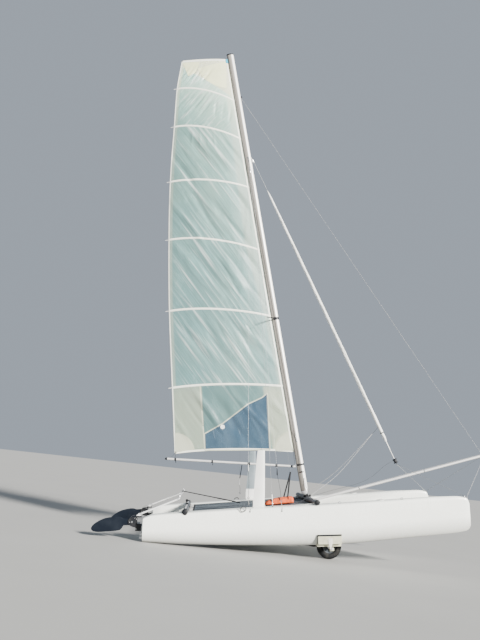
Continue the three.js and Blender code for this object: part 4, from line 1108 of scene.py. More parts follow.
def makeMast():
    half = np.array(mastHalf)
    ring = np.concatenate([half, np.stack([half[:0:-1, 0], -half[:0:-1, 1]], -1)])
    z = np.array([mastSpec["base"], mastSpec["base"] + 0.002, mastSpec["length"] - 0.002, mastSpec["length"]])
    rings = np.stack([np.column_stack([ring, np.full(len(ring), h)]) for h in z])
    tang = block(mastSpec["nose"] - 0.008, mastSpec["nose"] + 0.007, -0.006, 0.006, mastSpec["hounds"] - 0.015,
        mastSpec["hounds"] + 0.015)
    shape = joined(skin(rings), tang)
    chord = np.stack([shape[0][:, 0], shape[0][:, 1], np.zeros(len(shape[0]))], -1)
    makePiece("mastTube", shape, "mastSkin", "mast", onMast, ["mast"], sharp=25, params={"chord": chord})
    # the luff track along the aft edge, a groove between two lips, dark grey-brown as painted shade like the mast's
    # after part
    track = np.array([[-0.0797, 0.0072], [-0.0797, 0.0028], [-0.074, 0.0022], [-0.074, -0.0022], [-0.0797, -0.0028],
        [-0.0797, -0.0072], [-0.0752, -0.0128], [-0.0665, -0.0186], [-0.0650, -0.0180], [-0.0650, 0.0180],
        [-0.0665, 0.0186], [-0.0752, 0.0128]])
    rings = np.stack([np.column_stack([track, np.full(len(track), h)]) for h in (0.56, mastSpec["length"] - 0.02)])
    makePiece("luffTrack", skin(rings), "mastTrack", "mast", onMast, sharp=25)
    # a dark band at the mast's foot, cut off square behind
    low, high = mastSpec["band"]
    inner = ring * 1.006
    outer = inner + 0.0022 * ring / np.linalg.norm(ring, axis=1)[:, None]
    turns = ((inner, low), (outer, low), (outer, high), (inner, high), (inner, low))
    band = np.stack([np.column_stack([edge, np.full(len(ring), h)]) for edge, h in turns])
    band[..., 0] = np.maximum(band[..., 0], -0.070)
    makePiece("mastBands", skin(band, capped=False), "dark", "mast", onMast)
    # spreader arms as flattened tapering struts held in a collar
    arms = []
    for s in (-1, 1):
        path = np.stack([[-0.012, s * 0.034, mastSpec["spreader"]],
            [-0.10, s * 0.160, mastSpec["spreader"] + 0.003], [-0.190, s * 0.290, mastSpec["spreader"]]])
        arms.append(tube(rounded(path, 20), np.linspace(0.0150, 0.0105, 20), 16, 0.75))
        arms.append(turnedProfile(both([[0.0, 0.014], [0.006, 0.012], [0.009, 0.005]]),
            (-0.192, s * 0.295, mastSpec["spreader"]), (0, 0, 1), 16))
    # their collar: the part of the mast's outline ahead of the track, twice, the outer one larger
    ahead = ring[:, 0] > -0.05
    first = -int(np.argmax(~ahead))
    path = np.roll(ring * 1.012, first, axis=0)[np.roll(ahead, first)]
    low, high = mastSpec["collar"]
    turns = ((1.0, low), (1.0, high), (1.09, high), (1.09, low))
    arms.append(skin(np.stack([np.column_stack([path * k, np.full(len(path), h)]) for k, h in turns], 1)))
    makePiece("spreaderArms", arms, "black", "mast", onMast, ["spreaders"], edge=0.0015)
    wires, ends = [], []
    for s in sides.values():
        tip = np.array([-0.194, s * 0.304, mastSpec["spreader"]])
        low, high = np.array([-0.005, s * 0.0386, 0.980]), np.array([-0.005, s * 0.0386, 6.480])
        wires += [tube([low, tip - [0, 0, 0.003]], 0.002, 10), tube([tip + [0, 0, 0.003], high], 0.002, 10)]
        for a, b in ((low, tip), (high, tip)):
            way = toward(a, b)
            ends.append(tube([a, a + way * 0.02, a + way * 0.11, a + way * 0.115], [0.0045, 0.0045, 0.0042, 0.0025],
                12))
    stands = ["diamond_wire_%s_%s" % (part, name) for part in ("lower", "upper") for name in sides]
    makePiece("diamondWires", wires, "wire", "mast", onMast, stands)
    makePiece("diamondTerminals", ends, "steel", "mast", onMast)
    plates = []
    for h, tall in ((0.985, 0.020), (6.475, 0.020), (6.64, 0.016), (6.70, 0.030)):
        for s in (-1, 1):
            plates.append(block(-0.018, 0.008, s * 0.0362 - 0.0025, s * 0.0362 + 0.0025, h - tall, h + tall))
            plates.append(turnedProfile([[0.0, 0.004], [0.005, 0.0035], [0.007, 0.0], [0.0, -0.004]],
                (-0.005, s * 0.0385, h), (0, s, 0), 16))
    makePiece("mastPlates", plates, "steel", "mast", onMast, edge=0.001)
    # masthead sheave, halyard down the face and its cleat
    gear = [turnedProfile(both([[0.0, 0.006], [0.020, 0.006], [0.017, 0.0]]), (-0.055, 0.0, 9.035), (0, 1, 0), 28)]
    gear.append(block(-0.03, 0.01, -0.044, -0.034, 0.40, 0.425))
    gear.append(block(-0.052, 0.032, -0.052, -0.044, 0.405, 0.420))
    makePiece("mastGear", gear, "black", "mast", onMast, edge=0.002)
    halyard = rounded([[-0.06, -0.024, 9.02], [-0.055, -0.032, 8.6], [-0.03, -0.0385, 5.0], [-0.02, -0.0395, 1.5],
        [-0.02, -0.042, 0.60], [-0.02, -0.047, 0.43], [0.0, -0.058, 0.398], [-0.03, -0.060, 0.404],
        [-0.012, -0.058, 0.43]], 90)
    makePiece("mainHalyard", tube(halyard, 0.0022, 8), "darkRope", "mast", onMast)
    print("mast made")


# rigging: shrouds, bridles, forestay with its drum and rolled jib, pole
rig = {"shroudLow": (2.163, 1.250, 0.563), "shroudTop": (0.080, 0.012, 6.690), "stayLow": (4.640, 0.0, 1.165),
    "stayTop": (0.076, 0.0, 6.700), "bridle": 5.478, "pole": [(2.965, 0.5228), (6.40214, 1.3248)],
    "poleRadius": 0.022, "ring": 6.320, "poleBridle": 5.512}


def swaged(a, b, radius, inset=0.0, length=0.09):
    # the sleeve pressed on a wire's end and its fork, from a towards b
    a, b = np.asarray(a, float), np.asarray(b, float)
    way = toward(a, b)
    start = a + way * inset
    return tube([start, start + way * length * 0.3, start + way * length * 0.34, start + way * length,
        start + way * (length + 0.006)], [radius * 2.6, radius * 2.4, radius * 1.9, radius * 1.7, radius * 1.05],
        14)


def makeShrouds():
    # wire a + t (b - a); at its foot a white turnbuckle tube, plate and pins
    wires, steel, white = [], [], []
    for s in sides.values():
        low = rig["shroudLow"] * np.array([1, s, 1])
        top = fromMast(rig["shroudTop"] * np.array([1, s, 1]))
        way = toward(low, top)
        wires.append(tube([low + way * 0.05, top - way * 0.012], 0.0023, 10))
        steel.append(swaged(top, low, 0.0023, 0.012))
        steel.append(swaged(low, top, 0.003, 0.0, 0.07))
        steel.append(slab(low[0], 0.012, low[1], 0.0025, low[2] - 0.045, low[2] + 0.012))
        steel.append(tube([low - [0, 0.012, 0], low + [0, 0.012, 0]], 0.004, 14))
        for dy in (-0.006, 0.006):
            steel.append(tube([low + [0, dy, -0.008], low + way * 0.11 + [0, dy * 0.7, 0]], 0.003, 8))
        white.append(tube([low + way * 0.078, low + way * 0.083, low + way * 0.160, low + way * 0.165],
            [0.005, 0.0078, 0.0078, 0.005], 16))
        steel.append(turnedProfile([[0.0, 0.004], [0.011, 0.004], [0.013, 0.002], [0.013, -0.002], [0.0, -0.004]],
            low + way * 0.178, way, 18))
    makePiece("shroudWires", wires, "wire", stands=["shroud_starboard", "shroud_port"])
    makePiece("shroudFittings", steel, "steel", edge=0.0008)
    makePiece("shroudCovers", white, "white")
    print("shrouds made")


def makeForestay():
    low, top = np.array(rig["stayLow"]), fromMast(rig["stayTop"])
    way = toward(low, top)
    drum = [[0.0, -0.008], [0.007, -0.008], [0.0075, 0.028], [0.040, 0.029], [0.0445, 0.031], [0.0455, 0.034],
        [0.0445, 0.0385], [0.033, 0.0405], [0.029, 0.046], [0.0285, 0.088], [0.033, 0.0945], [0.0445, 0.0965],
        [0.0455, 0.101], [0.044, 0.105], [0.020, 0.106], [0.018, 0.112], [0.0, 0.112]]
    makePiece("furlingDrum", turnedProfile(drum, low, way, 56), "black", stands=["furler_drum"])
    # furling line: a few turns on the drum, r held and height stepping by the line's width each turn
    a = np.linspace(0, 2 * np.pi * 7, 260)
    side = np.cross(way, [0, 1, 0])
    side /= np.linalg.norm(side)
    over = np.cross(way, side)
    a = a[:, None]
    coil = low + (0.048 + 0.0052 * a / (2 * np.pi)) * way + 0.0310 * (np.cos(a) * side + np.sin(a) * over)
    lead = rounded([coil[-1], coil[-1] + np.array([-0.10, -0.012, -0.045]), np.array([4.10, -0.03, 0.92]),
        np.array([3.30, -0.12, 0.70]), np.array([3.02, -0.16, 0.63])], 60)
    makePiece("furlingLine", [tube(coil, 0.0025, 8), tube(lead, 0.0025, 8)], "darkRope")
    # rolled jib: the radius along the stay, plus a spiral's step around it that drifts with height and soft puckers
    knots = np.array([[0.1065, 0.006], [0.30, 0.0075], [0.452, 0.009], [0.470, 0.0175], [0.562, 0.0285],
        [1.30, 0.0312], [3.0, 0.0300], [4.6, 0.0262], [5.70, 0.0190], [5.850, 0.0115], [5.872, 0.006],
        [5.90, 0.0045]])
    s = np.concatenate([np.linspace(0.1065, 0.44, 8), np.linspace(0.45, 5.90, 420)])
    r = through(knots[:, 0], knots[:, 1], s)[:, 0]
    t = np.linspace(0, 2 * np.pi, 72, endpoint=False)
    within = np.clip((s - 0.46) / 0.15, 0, 1) * np.clip((5.84 - s) / 0.2, 0, 1)
    phase = (t[None, :] - 0.9 - 0.55 * s[:, None]) % (2 * np.pi) / (2 * np.pi)
    step = 0.0026 * (1 - phase) - 0.0028 * np.exp(-((phase - 0.985) / 0.016) ** 2)
    second = (t[None, :] + 1.7 - 0.8 * s[:, None]) % (2 * np.pi) / (2 * np.pi)
    high, turn = s[:, None], t[None, :]
    pucker = 0.0012 * np.sin(9.0 * high + 2 * turn) + 0.0009 * np.sin(23.0 * high - 3 * turn + 1.0)
    pucker = pucker + 0.0008 * np.sin(61.0 * high + 4 * turn)
    crease = 0.0022 * np.exp(-((second - 0.5) / 0.02) ** 2)
    radius = r[:, None] + within[:, None] * (step - crease + pucker - 0.0012)
    outward = np.cos(t)[:, None] * side + np.sin(t)[:, None] * over
    rings = low + s[:, None, None] * way + radius[..., None] * outward
    jib = makePiece("jibRoll", skin(rings), "rolled", stands=["furled_jib"])
    # the dark leech tape winding up the roll, following the spiral's step
    tapeS = np.linspace(0.60, 5.70, 260)
    tapeT = 0.9 + 0.55 * tapeS
    tapeR = through(knots[:, 0], knots[:, 1], tapeS)[:, 0] + 0.0030
    rows = []
    for w in (-0.16, -0.05, 0.05):
        turn = tapeT + w * 0.045 / np.maximum(tapeR, 0.015)
        rows.append(low + tapeS[:, None] * way
            + tapeR[:, None] * (np.cos(turn)[:, None] * side + np.sin(turn)[:, None] * over))
    tapeGrid = np.stack(rows, 1)
    makePiece("jibTape", sheetShell(tapeGrid, (0.0003, 0.0003, 0.0)), "pocket")
    tieAt = 0.64
    base = float(through(knots[:, 0], knots[:, 1], [tieAt])[0, 0])
    tie = [[base + 0.001, -0.010], [base + 0.0055, -0.008], [base + 0.0058, 0.008], [base + 0.001, 0.010]]
    makePiece("jibTies", turnedProfile(tie, low + way * tieAt, way, 40, True), "webbing")
    # forestay above the roll, then the bridle wires down to the bow tangs
    wires, steel = [tube([low + way * 5.88, top - way * 0.012], 0.0028, 10)], []
    for s in sides.values():
        deck = crown(rig["bridle"])
        foot = np.array([rig["bridle"], s * hullY, deck + 0.020])
        aim = toward(low, foot)
        wires.append(tube([low + aim * 0.011, foot], 0.0025, 10))
        steel.append(swaged(low, foot, 0.0025, 0.011))
        steel.append(swaged(foot, low, 0.0025))
        steel.append(slab(foot[0], 0.010, foot[1], 0.0025, deck - 0.01, foot[2] + 0.008))
        steel.append(tube([foot + [0, -0.010, 0], foot + [0, 0.010, 0]], 0.0035, 12))
        steel.append(slab(foot[0], 0.045, foot[1], 0.012, deck - 0.006, deck + 0.0025))
    steel.append(turnedProfile([[0.0, 0.010], [0.009, 0.009], [0.0105, 0.004], [0.0105, -0.006], [0.0, -0.008]],
        low - way * 0.006, way, 24))
    makePiece("bridleWires", wires, "paleWire", stands=["forestay_bridle_starboard", "forestay_bridle_port"])
    makePiece("bridleFittings", steel, "steel", edge=0.0008)
    # hounds: shackle and toggle where the stay and shrouds meet the mast
    hounds = [swaged(top, low, 0.003, 0.012, 0.10),
        tube([top + [0.006, -0.012, 0], top + [0.006, 0.012, 0]], 0.004, 12)]
    makePiece("hounds", hounds, "steel")
    print("forestay made")


def makePole():
    (ax, az), (bx, bz) = rig["pole"]
    a, b = np.array([ax, 0.0, az]), np.array([bx, 0.0, bz])
    way = toward(a, b)
    at = lambda x: a + way * (x - ax) / way[0]
    r = rig["poleRadius"]
    makePiece("poleTube", tube([a + way * 0.002, b - way * 0.012], r, 40), "mastAlloy", stands=["spinnaker_pole"])
    ring = at(rig["ring"])
    silver = [turnedProfile(both([[r + 0.0002, -0.014], [r + 0.0025, -0.013], [r + 0.003, 0.0]]), ring, way, 40,
        True)]
    for s in (-1, 1):
        silver.append(slab(ring[0], 0.010, s * 0.0275, 0.004, ring[2] - 0.010, ring[2] + 0.010))
    silver.append(turnedProfile([[0.0, 0.009], [0.012, 0.0085], [0.018, 0.006], [r - 0.0005, 0.0],
        [r + 0.0006, -0.002], [r + 0.0006, -0.05], [r - 0.001, -0.05], [0.0, -0.02]], b - way * 0.012, way, 40))
    for x in (3.06, 3.9, 5.15):
        silver.append(turnedProfile(both([[r + 0.0002, -0.010], [r + 0.0012, -0.0095]]), at(x), way, 40, True))
    makePiece("poleFittings", silver, "steel", edge=0.0008)
    # socket at the beam: a block
    socket = block(2.927, 2.995, -0.020, 0.020, 0.500, 0.556)
    makePiece("poleSocket", socket, "black", edge=0.004)
    wires, ends = [], []
    for s in sides.values():
        deck = crown(rig["poleBridle"])
        foot = np.array([rig["poleBridle"], s * hullY, deck + 0.020])
        head = np.array([ring[0], s * (r + 0.0066), ring[2]])
        wires.append(tube([head, foot], 0.0026, 10))
        ends += [swaged(head, foot, 0.0022, 0.0, 0.05), swaged(foot, head, 0.0022, 0.0, 0.05)]
        ends.append(slab(foot[0], 0.010, foot[1], 0.0025, deck - 0.012, foot[2] + 0.007))
        ends.append(tube([foot + [0, -0.008, 0], foot + [0, 0.008, 0]], 0.003, 12))
    makePiece("poleWires", wires, "lightRope", stands=["pole_bridle_starboard", "pole_bridle_port"])
    makePiece("poleWireEnds", ends, "steel", edge=0.0008)
    # tack line along the pole and its block near the end
    tack = rounded([at(6.385) + [0, 0, r + 0.002], at(6.1) + [0, 0.004, r + 0.005],
        at(5.4) + [0, -0.004, r + 0.009], at(4.4) + [0, 0.004, r + 0.007], at(3.4) + [0, 0.0, r + 0.005],
        at(3.05) + [0, -0.01, r + 0.005]], 80)
    makePiece("tackLine", tube(tack, 0.0024, 8), "lightRope")
    shackle = rounded([b + [-0.006, 0.0, 0.021], b + [0.008, 0.0, 0.043], b + [-0.006, 0.0, 0.057],
        b + [-0.022, 0.0, 0.043], b + [-0.010, 0.0, 0.023]], 30)
    makePiece("poleShackle", tube(shackle, 0.003, 10), "steel")
    print("pole made")


# orange spinnaker bag lying along the near side of the pole, on the trampoline
bagSpec = {"y": -0.600, "rows": [(2.086, 0.104, 0.036), (2.100, 0.120, 0.052), (2.150, 0.138, 0.079),
    (2.240, 0.148, 0.103), (2.400, 0.151, 0.123), (2.540, 0.148, 0.126), (2.572, 0.138, 0.118),
    (2.584, 0.124, 0.100)], "crumple": 0.0085}


def makeBag():
    rows = np.array(bagSpec["rows"])
    x = np.linspace(rows[0, 0], rows[-1, 0], 120)
    half, tall = through(rows[:, 0], rows[:, 1:], x).T
    t = np.linspace(0, 2 * np.pi, 120, endpoint=False)[None, :]
    # a superellipse section with a flat foot, crumpled by sines that die out at the foot
    c, s = np.cos(t), np.sin(t)
    along = x[:, None]
    y = half[:, None] * np.sign(c) * np.abs(c) ** 0.75
    z = tall[:, None] * (0.5 + 0.5 * np.sign(s) * np.abs(s) ** 0.62)
    amount = bagSpec["crumple"] * np.clip((z / tall[:, None] - 0.08) / 0.3, 0, 1)
    waves = np.sin(31 * along + 9 * c) + 0.7 * np.sin(17 * along - 7 * s + 1.0)
    waves = waves + 0.6 * np.sin(53 * along + 13 * np.sin(2 * t) + 2.0) + 0.35 * np.sin(88 * along - 16 * c + 0.5)
    push = amount * (waves - 1.6) * 0.45
    y = y + push * c
    z = z + push * np.maximum(s, 0)
    base = trampolineHeight(x)[:, None] - 0.004
    rings = np.stack([np.broadcast_to(along, y.shape), bagSpec["y"] + y, base + z + 0.0055], -1)
    bag = makePiece("spinnakerBagCloth", skin(rings), "bag", stands=["spinnaker_bag"])
    # seams and straps over the bag: the section's upper arc lifted a little
    straps = []
    for k in (26, 60, 96):
        grid = rings[k - 2:k + 3, 2:59] + [0, 0, 0.0022]
        grid[:, :, 1] += np.sign(grid[:, :, 1] - bagSpec["y"]) * 0.0015
        straps.append(sheetShell(grid, (0, 0, 0.0008)))
    makePiece("bagStraps", straps, "webbing")
    makePiece("bagZip", tube(rings[2:-2, 30] + [0, 0, 0.001], 0.0028, 8), "black")
    print("bag made")


# rudders, tillers and crossbar
rudderSpec = {
    "pivot": (-0.150, 0.310), "lean": {"starboard": -84.3, "port": -79.0}, "cheek": (0.0135, 0.020),
    "tillerFoot": (-0.060, 0.0, 0.426), "tillerTop": (0.617, 0.0, 0.712), "bar": 0.745, "swivel": 0.250,
}
# span, lead, trail, thickness
bladeRows = np.array([
    [-0.045, 0.022, 0.022, 0.018], [-0.022, 0.042, 0.042, 0.020], [0.0, 0.046, 0.050, 0.020],
    [0.140, 0.048, 0.066, 0.020], [0.168, 0.086, 0.082, 0.021],
    [0.200, 0.114, 0.094, 0.022], [0.260, 0.124, 0.101, 0.022], [0.340, 0.127, 0.100, 0.021],
    [0.430, 0.127, 0.091, 0.019], [0.510, 0.126, 0.068, 0.017],
    [0.580, 0.122, 0.037, 0.014], [0.630, 0.112, 0.006, 0.011], [0.660, 0.096, -0.023, 0.009],
    [0.676, 0.074, -0.048, 0.006],
])


def makeRudders():
    span = np.concatenate([np.linspace(-0.045, -0.02, 8), np.linspace(-0.01, 0.60, 70),
        np.linspace(0.606, 0.676, 20)])
    values = through(bladeRows[:, 0], bladeRows[:, 1:], span)
    u = (1 - np.cos(np.linspace(0, np.pi, 21))) / 2
    lens = np.sqrt(np.clip(4 * u * (1 - u), 0, 1)) ** 0.9
    bladeX = values[:, :1] - u * (values[:, :1] + values[:, 1:2])
    bladeY = values[:, 2:3] / 2 * lens * np.where(u < 0.35, 1.0, 1.0 - 0.35 * (u - 0.35) / 0.65)
    x = np.concatenate([bladeX, bladeX[:, -2:0:-1]], 1)
    y = np.concatenate([bladeY, -bladeY[:, -2:0:-1]], 1)
    z = np.broadcast_to(-span[:, None], x.shape)
    px, pz = rudderSpec["pivot"]
    cheekOutline = np.array([[-0.064, 0.226], [-0.10, 0.2255], [-0.160, 0.240], [-0.200, 0.268], [-0.2145, 0.310],
        [-0.205, 0.350], [-0.170, 0.380], [-0.12, 0.3915], [-0.064, 0.3915]])
    knots = np.arange(len(cheekOutline))
    edge = through(knots, cheekOutline, np.linspace(0, len(knots) - 1, 60), limit=False)
    for name, sign in sides.items():
        middle = toHull(sign)
        body = "rudder_" + name
        place = lambda points: onRudder(points + middle)
        blade = tilted(np.stack([x, y, z], -1), (rudderSpec["lean"][name], *rudderSpec["pivot"]))
        makePiece("rudderFoil_" + name, skin(blade), "blade", "blade_" + name, place, ["rudder_blade_" + name])
        stock = [block(-0.085, 0.008, -0.013, 0.013, 0.168, 0.284),
            block(-0.088, -0.064, -0.0195, 0.0195, 0.168, 0.412), block(-0.088, 0.002, -0.015, 0.015, 0.386, 0.412)]
        for s in (-1, 1):
            stock.append(skin(np.stack([np.stack([edge[:, 0], np.full(60, s * q), edge[:, 1]], -1)
                for q in rudderSpec["cheek"]])))
        makePiece("rudderHead_" + name, stock, "black", body, place, ["rudder_stock_" + name], edge=0.0018)
        bolts = []
        for (bx, bz), size in (((px, pz), 0.011), ((-0.076, 0.20), 0.006), ((-0.076, 0.36), 0.006),
                ((-0.105, 0.372), 0.005), ((-0.19, 0.31), 0.0045)):
            for s in (-1, 1):
                bolts.append(turnedProfile([[0.0, 0.0045], [size * 0.7, 0.0045], [size, 0.0015], [size, 0.0],
                    [size * 1.45, 0.0], [size * 1.45, -0.001], [0.0, -0.001]], (bx, s * 0.0202, bz), (0, s, 0), 20))
        makePiece("rudderBolts_" + name, bolts, "steel", body, place)
        foot, top = np.array(rudderSpec["tillerFoot"]), np.array(rudderSpec["tillerTop"])
        tiller = [tube([foot, top], 0.0128, 28), block(-0.080, -0.008, -0.013, 0.013, 0.4123, 0.424)]
        tiller.append(tube([top, top + [0, 0, 0.051]], 0.0048, 16))
        makePiece("tillerArm_" + name, tiller, "brightAlloy", body, place, ["tiller_" + name], edge=0.0008)
        way = toward(foot, top)
        dark = [turnedProfile(both([[0.0129, -0.016], [0.0150, -0.014]]), top - way * 0.022, way, 28, True)]
        dark.append(turnedProfile(both([[0.0129, -0.03], [0.0145, -0.028]]), foot + way * 0.05, way, 28, True))
        dark.append(turnedProfile([[0.0, 0.006], [0.007, 0.0055], [0.0085, 0.002], [0.0085, -0.0035],
            [0.0, -0.0035]], top + [0, 0, 0.050], (0, 0, 1), 20))
        dark.append(tube([[-0.045, 0, 0.455], [-0.045, 0.0, 0.412]], 0.006, 12))
        makePiece("tillerCollars_" + name, dark, "alloy", body, place)
        # kick-up line from the blade's nose over the head to a cleat on the tiller
        line = rounded([[-0.206, 0.009, 0.344], [-0.150, 0.0165, 0.406], [-0.06, 0.0185, 0.4225],
            [0.02, 0.0195, 0.462], [0.14, 0.0175, 0.518]], 50)
        makePiece("kickLine_" + name, tube(line, 0.0022, 8), "darkRope", body, place)
    barX, barZ = rudderSpec["tillerTop"][0], rudderSpec["bar"]
    bar = [tube([[barX, -hullY + 0.017, barZ], [barX, hullY - 0.017, barZ]], 0.0118, 28)]
    bar.append(turnedProfile(both([[0.0119, -0.20], [0.0150, -0.196]]), (barX, rudderSpec["swivel"], barZ),
        (0, 1, 0), 28, True))
    for s in (-1, 1):
        bar.append(turnedProfile(both([[0.0062, 0.0125], [0.0162, 0.0125], [0.0172, 0.010]]),
            (barX, s * hullY, barZ), (0, 0, 1), 28, True))
    bar.append(slab(barX, 0.011, rudderSpec["swivel"], 0.011, barZ + 0.011, barZ + 0.039))
    makePiece("crossbarTube", bar, "alloy", "crossbar", onRudder, ["tiller_crossbar"], edge=0.0008)
    # the extension runs from the swivel forward over the trampoline to its near edge
    start = onRudder([barX, rudderSpec["swivel"], barZ + 0.028])
    end = onBoat([1.640, -0.900, 0.580])
    way = toward(start, end)
    grip = tube([start + (end - start) * 0.62, start + (end - start) * 0.622, end - way * 0.02, end - way * 0.018],
        [0.0082, 0.0098, 0.0098, 0.0082], 24)
    makePiece("extensionRod", tube([start, end - way * 0.006], 0.0080, 24), "dark", "crossbar", np.asarray,
        ["tiller_extension"])
    knob = [[0.0, 0.004], [0.008, 0.0035], [0.0115, 0.0], [0.0115, -0.010], [0.009, -0.012], [0.0, -0.012]]
    makePiece("extensionGrip", [grip, turnedProfile(knob, end - way * 0.004, way, 24)], "black", "crossbar",
        np.asarray)
    swivel = tube([start - way * 0.012, start + way * 0.045], 0.0115, 20)
    makePiece("extensionSwivel", swivel, "dark", "crossbar", np.asarray)
    print("rudders made")


# beach trolley in its own frame: the axle lies across, a wheel at "track" either side of the middle
trolley = {"x": 3.149, "z": 0.210, "track": 0.843, "axle": 0.021, "end": 1.186, "tread": 0.2098, "blocks": 22}


def makeTrolley():
    cx, cz = trolley["x"], trolley["z"]
    axle = [tube([[cx, -trolley["end"], cz], [cx, trolley["end"], cz]], trolley["axle"], 40)]
    for s in (-1, 1):
        for e in (-1, 1):
            axle.append(turnedProfile(both([[0.0205, -0.006], [0.0305, -0.006], [0.032, -0.004]]),
                (cx, s * trolley["track"] + e * 0.073, cz), (0, 1, 0), 36, True))
        axle.append(turnedProfile([[0.0, 0.004], [0.016, 0.0035], [0.0205, 0.0], [0.0205, -0.004], [0.0, -0.004]],
            (cx, s * trolley["end"], cz), (0, s, 0), 32))
    makePiece("axleTube", axle, "alloy", "root", onTrolley, ["trolley_axle"], edge=0.0008)
    # tyre: a turned carcass with three rows of tread blocks round it, the middle row half a block on, and side ribs
    carcass = both([[0.1125, -0.0355], [0.118, -0.044], [0.132, -0.0525], [0.150, -0.0575], [0.170, -0.0555],
        [0.188, -0.0475], [0.198, -0.036], [0.2035, -0.018], [0.2045, 0.0]])
    for name, sign in sides.items():
        centre = np.array([cx, sign * trolley["track"], cz])
        body = "wheel_" + name
        pitch = 2 * np.pi / trolley["blocks"]
        cells = gridFaces(5, 4)
        ids = [0, 4, 8, 12, 16, 17, 18, 19, 15, 11, 7, 3, 2, 1]  # a block's outline on its grid of 5 by 4
        band = [[a, b, b + 20, a + 20] for a, b in zip(ids, ids[1:] + ids[:1])]
        blockFaces = cells.tolist() + (cells[:, ::-1] + 20).tolist() + band
        tread = []
        for low, high, offset in ((-0.045, -0.015, 0.0), (-0.010, 0.010, 0.5), (0.015, 0.045, 0.0)):
            y = np.linspace(low, high, 4)
            outer = trolley["tread"] - 14.0 * np.maximum(np.abs(y) - 0.016, 0) ** 2
            for angle in (np.arange(trolley["blocks"]) + offset) * pitch:
                t = (angle + 0.30 * pitch * np.linspace(-1, 1, 5))[:, None]
                grids = [np.stack(np.broadcast_arrays(cx + r * np.cos(t), centre[1] + y, cz + r * np.sin(t)), -1)
                    for r in (outer, outer - 0.0085)]
                tread.append((np.concatenate([g.reshape(-1, 3) for g in grids]), blockFaces))
        ribs = [turnedProfile([[r, s * (w - 0.002)], [r + 0.004, s * (w + 0.0012)], [r + 0.008, s * (w - 0.002)]],
            centre, (0, 1, 0), 90, True) for s in (-1, 1) for r, w in ((0.126, 0.0512), (0.1745, 0.0535))]
        shape = joined(turnedProfile(carcass, centre, (0, 1, 0), 96, True), *tread, *ribs)
        makePiece("tyreRubber_" + name, shape, "tyre", body, onTrolley, ["wheel_%s_tyre" % name], sharp=32)
        # rim: hub, dished web with ribs, bead seats
        profile = both([[0.0218, -0.062], [0.036, -0.062], [0.040, -0.058], [0.040, -0.026], [0.048, -0.0165],
            [0.070, -0.0135], [0.098, -0.0125], [0.104, -0.020], [0.1065, -0.038], [0.1115, -0.0425],
            [0.1118, -0.030]])
        shapes = [turnedProfile(profile, centre, (0, 1, 0), 96, True)]
        for k in range(8):
            angle = k * np.pi / 4 + 0.2
            d = np.array([np.cos(angle), 0.0, np.sin(angle)])
            n = np.array([-np.sin(angle), 0.0, np.cos(angle)]) * 0.0035
            for s in (-1, 1):
                root, tip = centre + d * 0.0385, centre + d * 0.1045
                low = [root + [0, s * 0.010, 0], tip + [0, s * 0.010, 0], tip + [0, s * 0.022, 0],
                    root + [0, s * 0.040, 0]]
                shapes.append(skin(np.stack([np.array(low) - n, np.array(low) + n])))
        makePiece("shadedRimPlastic_" + name, shapes, "rim", body, onTrolley, ["wheel_%s_rim" % name], edge=0.001)
        valve = tube([centre + [0.108, 0.030, 0], centre + [0.094, 0.044, 0], centre + [0.091, 0.048, 0]],
            [0.0032, 0.0032, 0.004], 10)
        makePiece("valve_" + name, valve, "black", body, onTrolley)
    for name, sign in sides.items():
        y = sign * (hullY + 0.165)
        # a black strip on the chock's top and aft edges: dark edging, and a painted shadow line where chock meets
        # hull
        trim = [block(2.895, 3.299, y - 0.003, y + 0.003, 0.037, 0.0655),
            block(2.8905, 2.906, y - 0.003, y + 0.003, -0.089, 0.062)]
        makePiece("cradleEdgeShadow_" + name, trim, "black", edge=0.001)
        # a white strap narrowing from the chock to the axle, x and width falling with height
        h = np.linspace(0, 1, 30)[:, None]
        w = np.linspace(-1, 1, 13)[None, :]
        half = np.where(h < 0.42, 0.036 - 0.004 * h, 0.034 * (1 - (h - 0.42) / 0.58) + 0.006 * (h - 0.42) / 0.58)
        strapX = 3.1075 - 0.004 * h + w * half
        strapZ = 0.004 - 0.176 * h
        bulge = 0.0045 + 0.003 * np.cos(np.pi * w / 2) * np.sin(np.pi * h) + 0.001 * np.sin(26 * h + 3 * w)
        grid = np.stack(np.broadcast_arrays(strapX, y + sign * bulge, strapZ), -1)
        makePiece("cradleStrap_" + name, sheetShell(grid, (0, 0.0009, 0)), "strap")
    print("trolley made")


# small fittings: blocks, cleats, grips and their lines
def pulley(centre, axis, size=0.024):
    # cheeks either side of a grooved wheel
    wheel = turnedProfile([[0.0, 0.30 * size], [0.80 * size, 0.30 * size], [0.64 * size, 0.0],
        [0.80 * size, -0.30 * size], [0.0, -0.30 * size]], centre, axis, 28)
    axis = np.asarray(axis, float) / np.linalg.norm(axis)
    cheeks = [turnedProfile([[0.0, 0.10 * size], [0.75 * size, 0.10 * size], [size, 0.0], [size, -0.10 * size],
        [0.0, -0.10 * size]], np.asarray(centre, float) + axis * s * 0.42 * size, axis * s, 28) for s in (-1, 1)]
    return [wheel] + cheeks


def handleBar(top, low, wide=0.055, thick=0.0055):
    # a triangular grip hung from its wire: two legs and a bar
    top, low = np.asarray(top, float), np.asarray(low, float)
    a, b = low + [0, -wide, 0], low + [0, wide, 0]
    path = rounded([top, (top + a) / 2 + [0, -0.004, 0], a, low, b, (top + b) / 2 + [0, 0.004, 0], top], 60)
    return tube(path, thick, 10)


# side: height on the mast, grip, ring, white or dark grip
trapeze = {
    -1: ((6.66, (1.783, 1.02, 1.160), (1.771, 1.10, 0.633), "white"),
        (6.62, (2.278, 1.02, 1.084), (2.325, 1.12, 0.570), "dark")),
    1: ((6.66, (1.718, 1.00, 0.847), (1.730, 1.10, 0.600), "white"),),
}


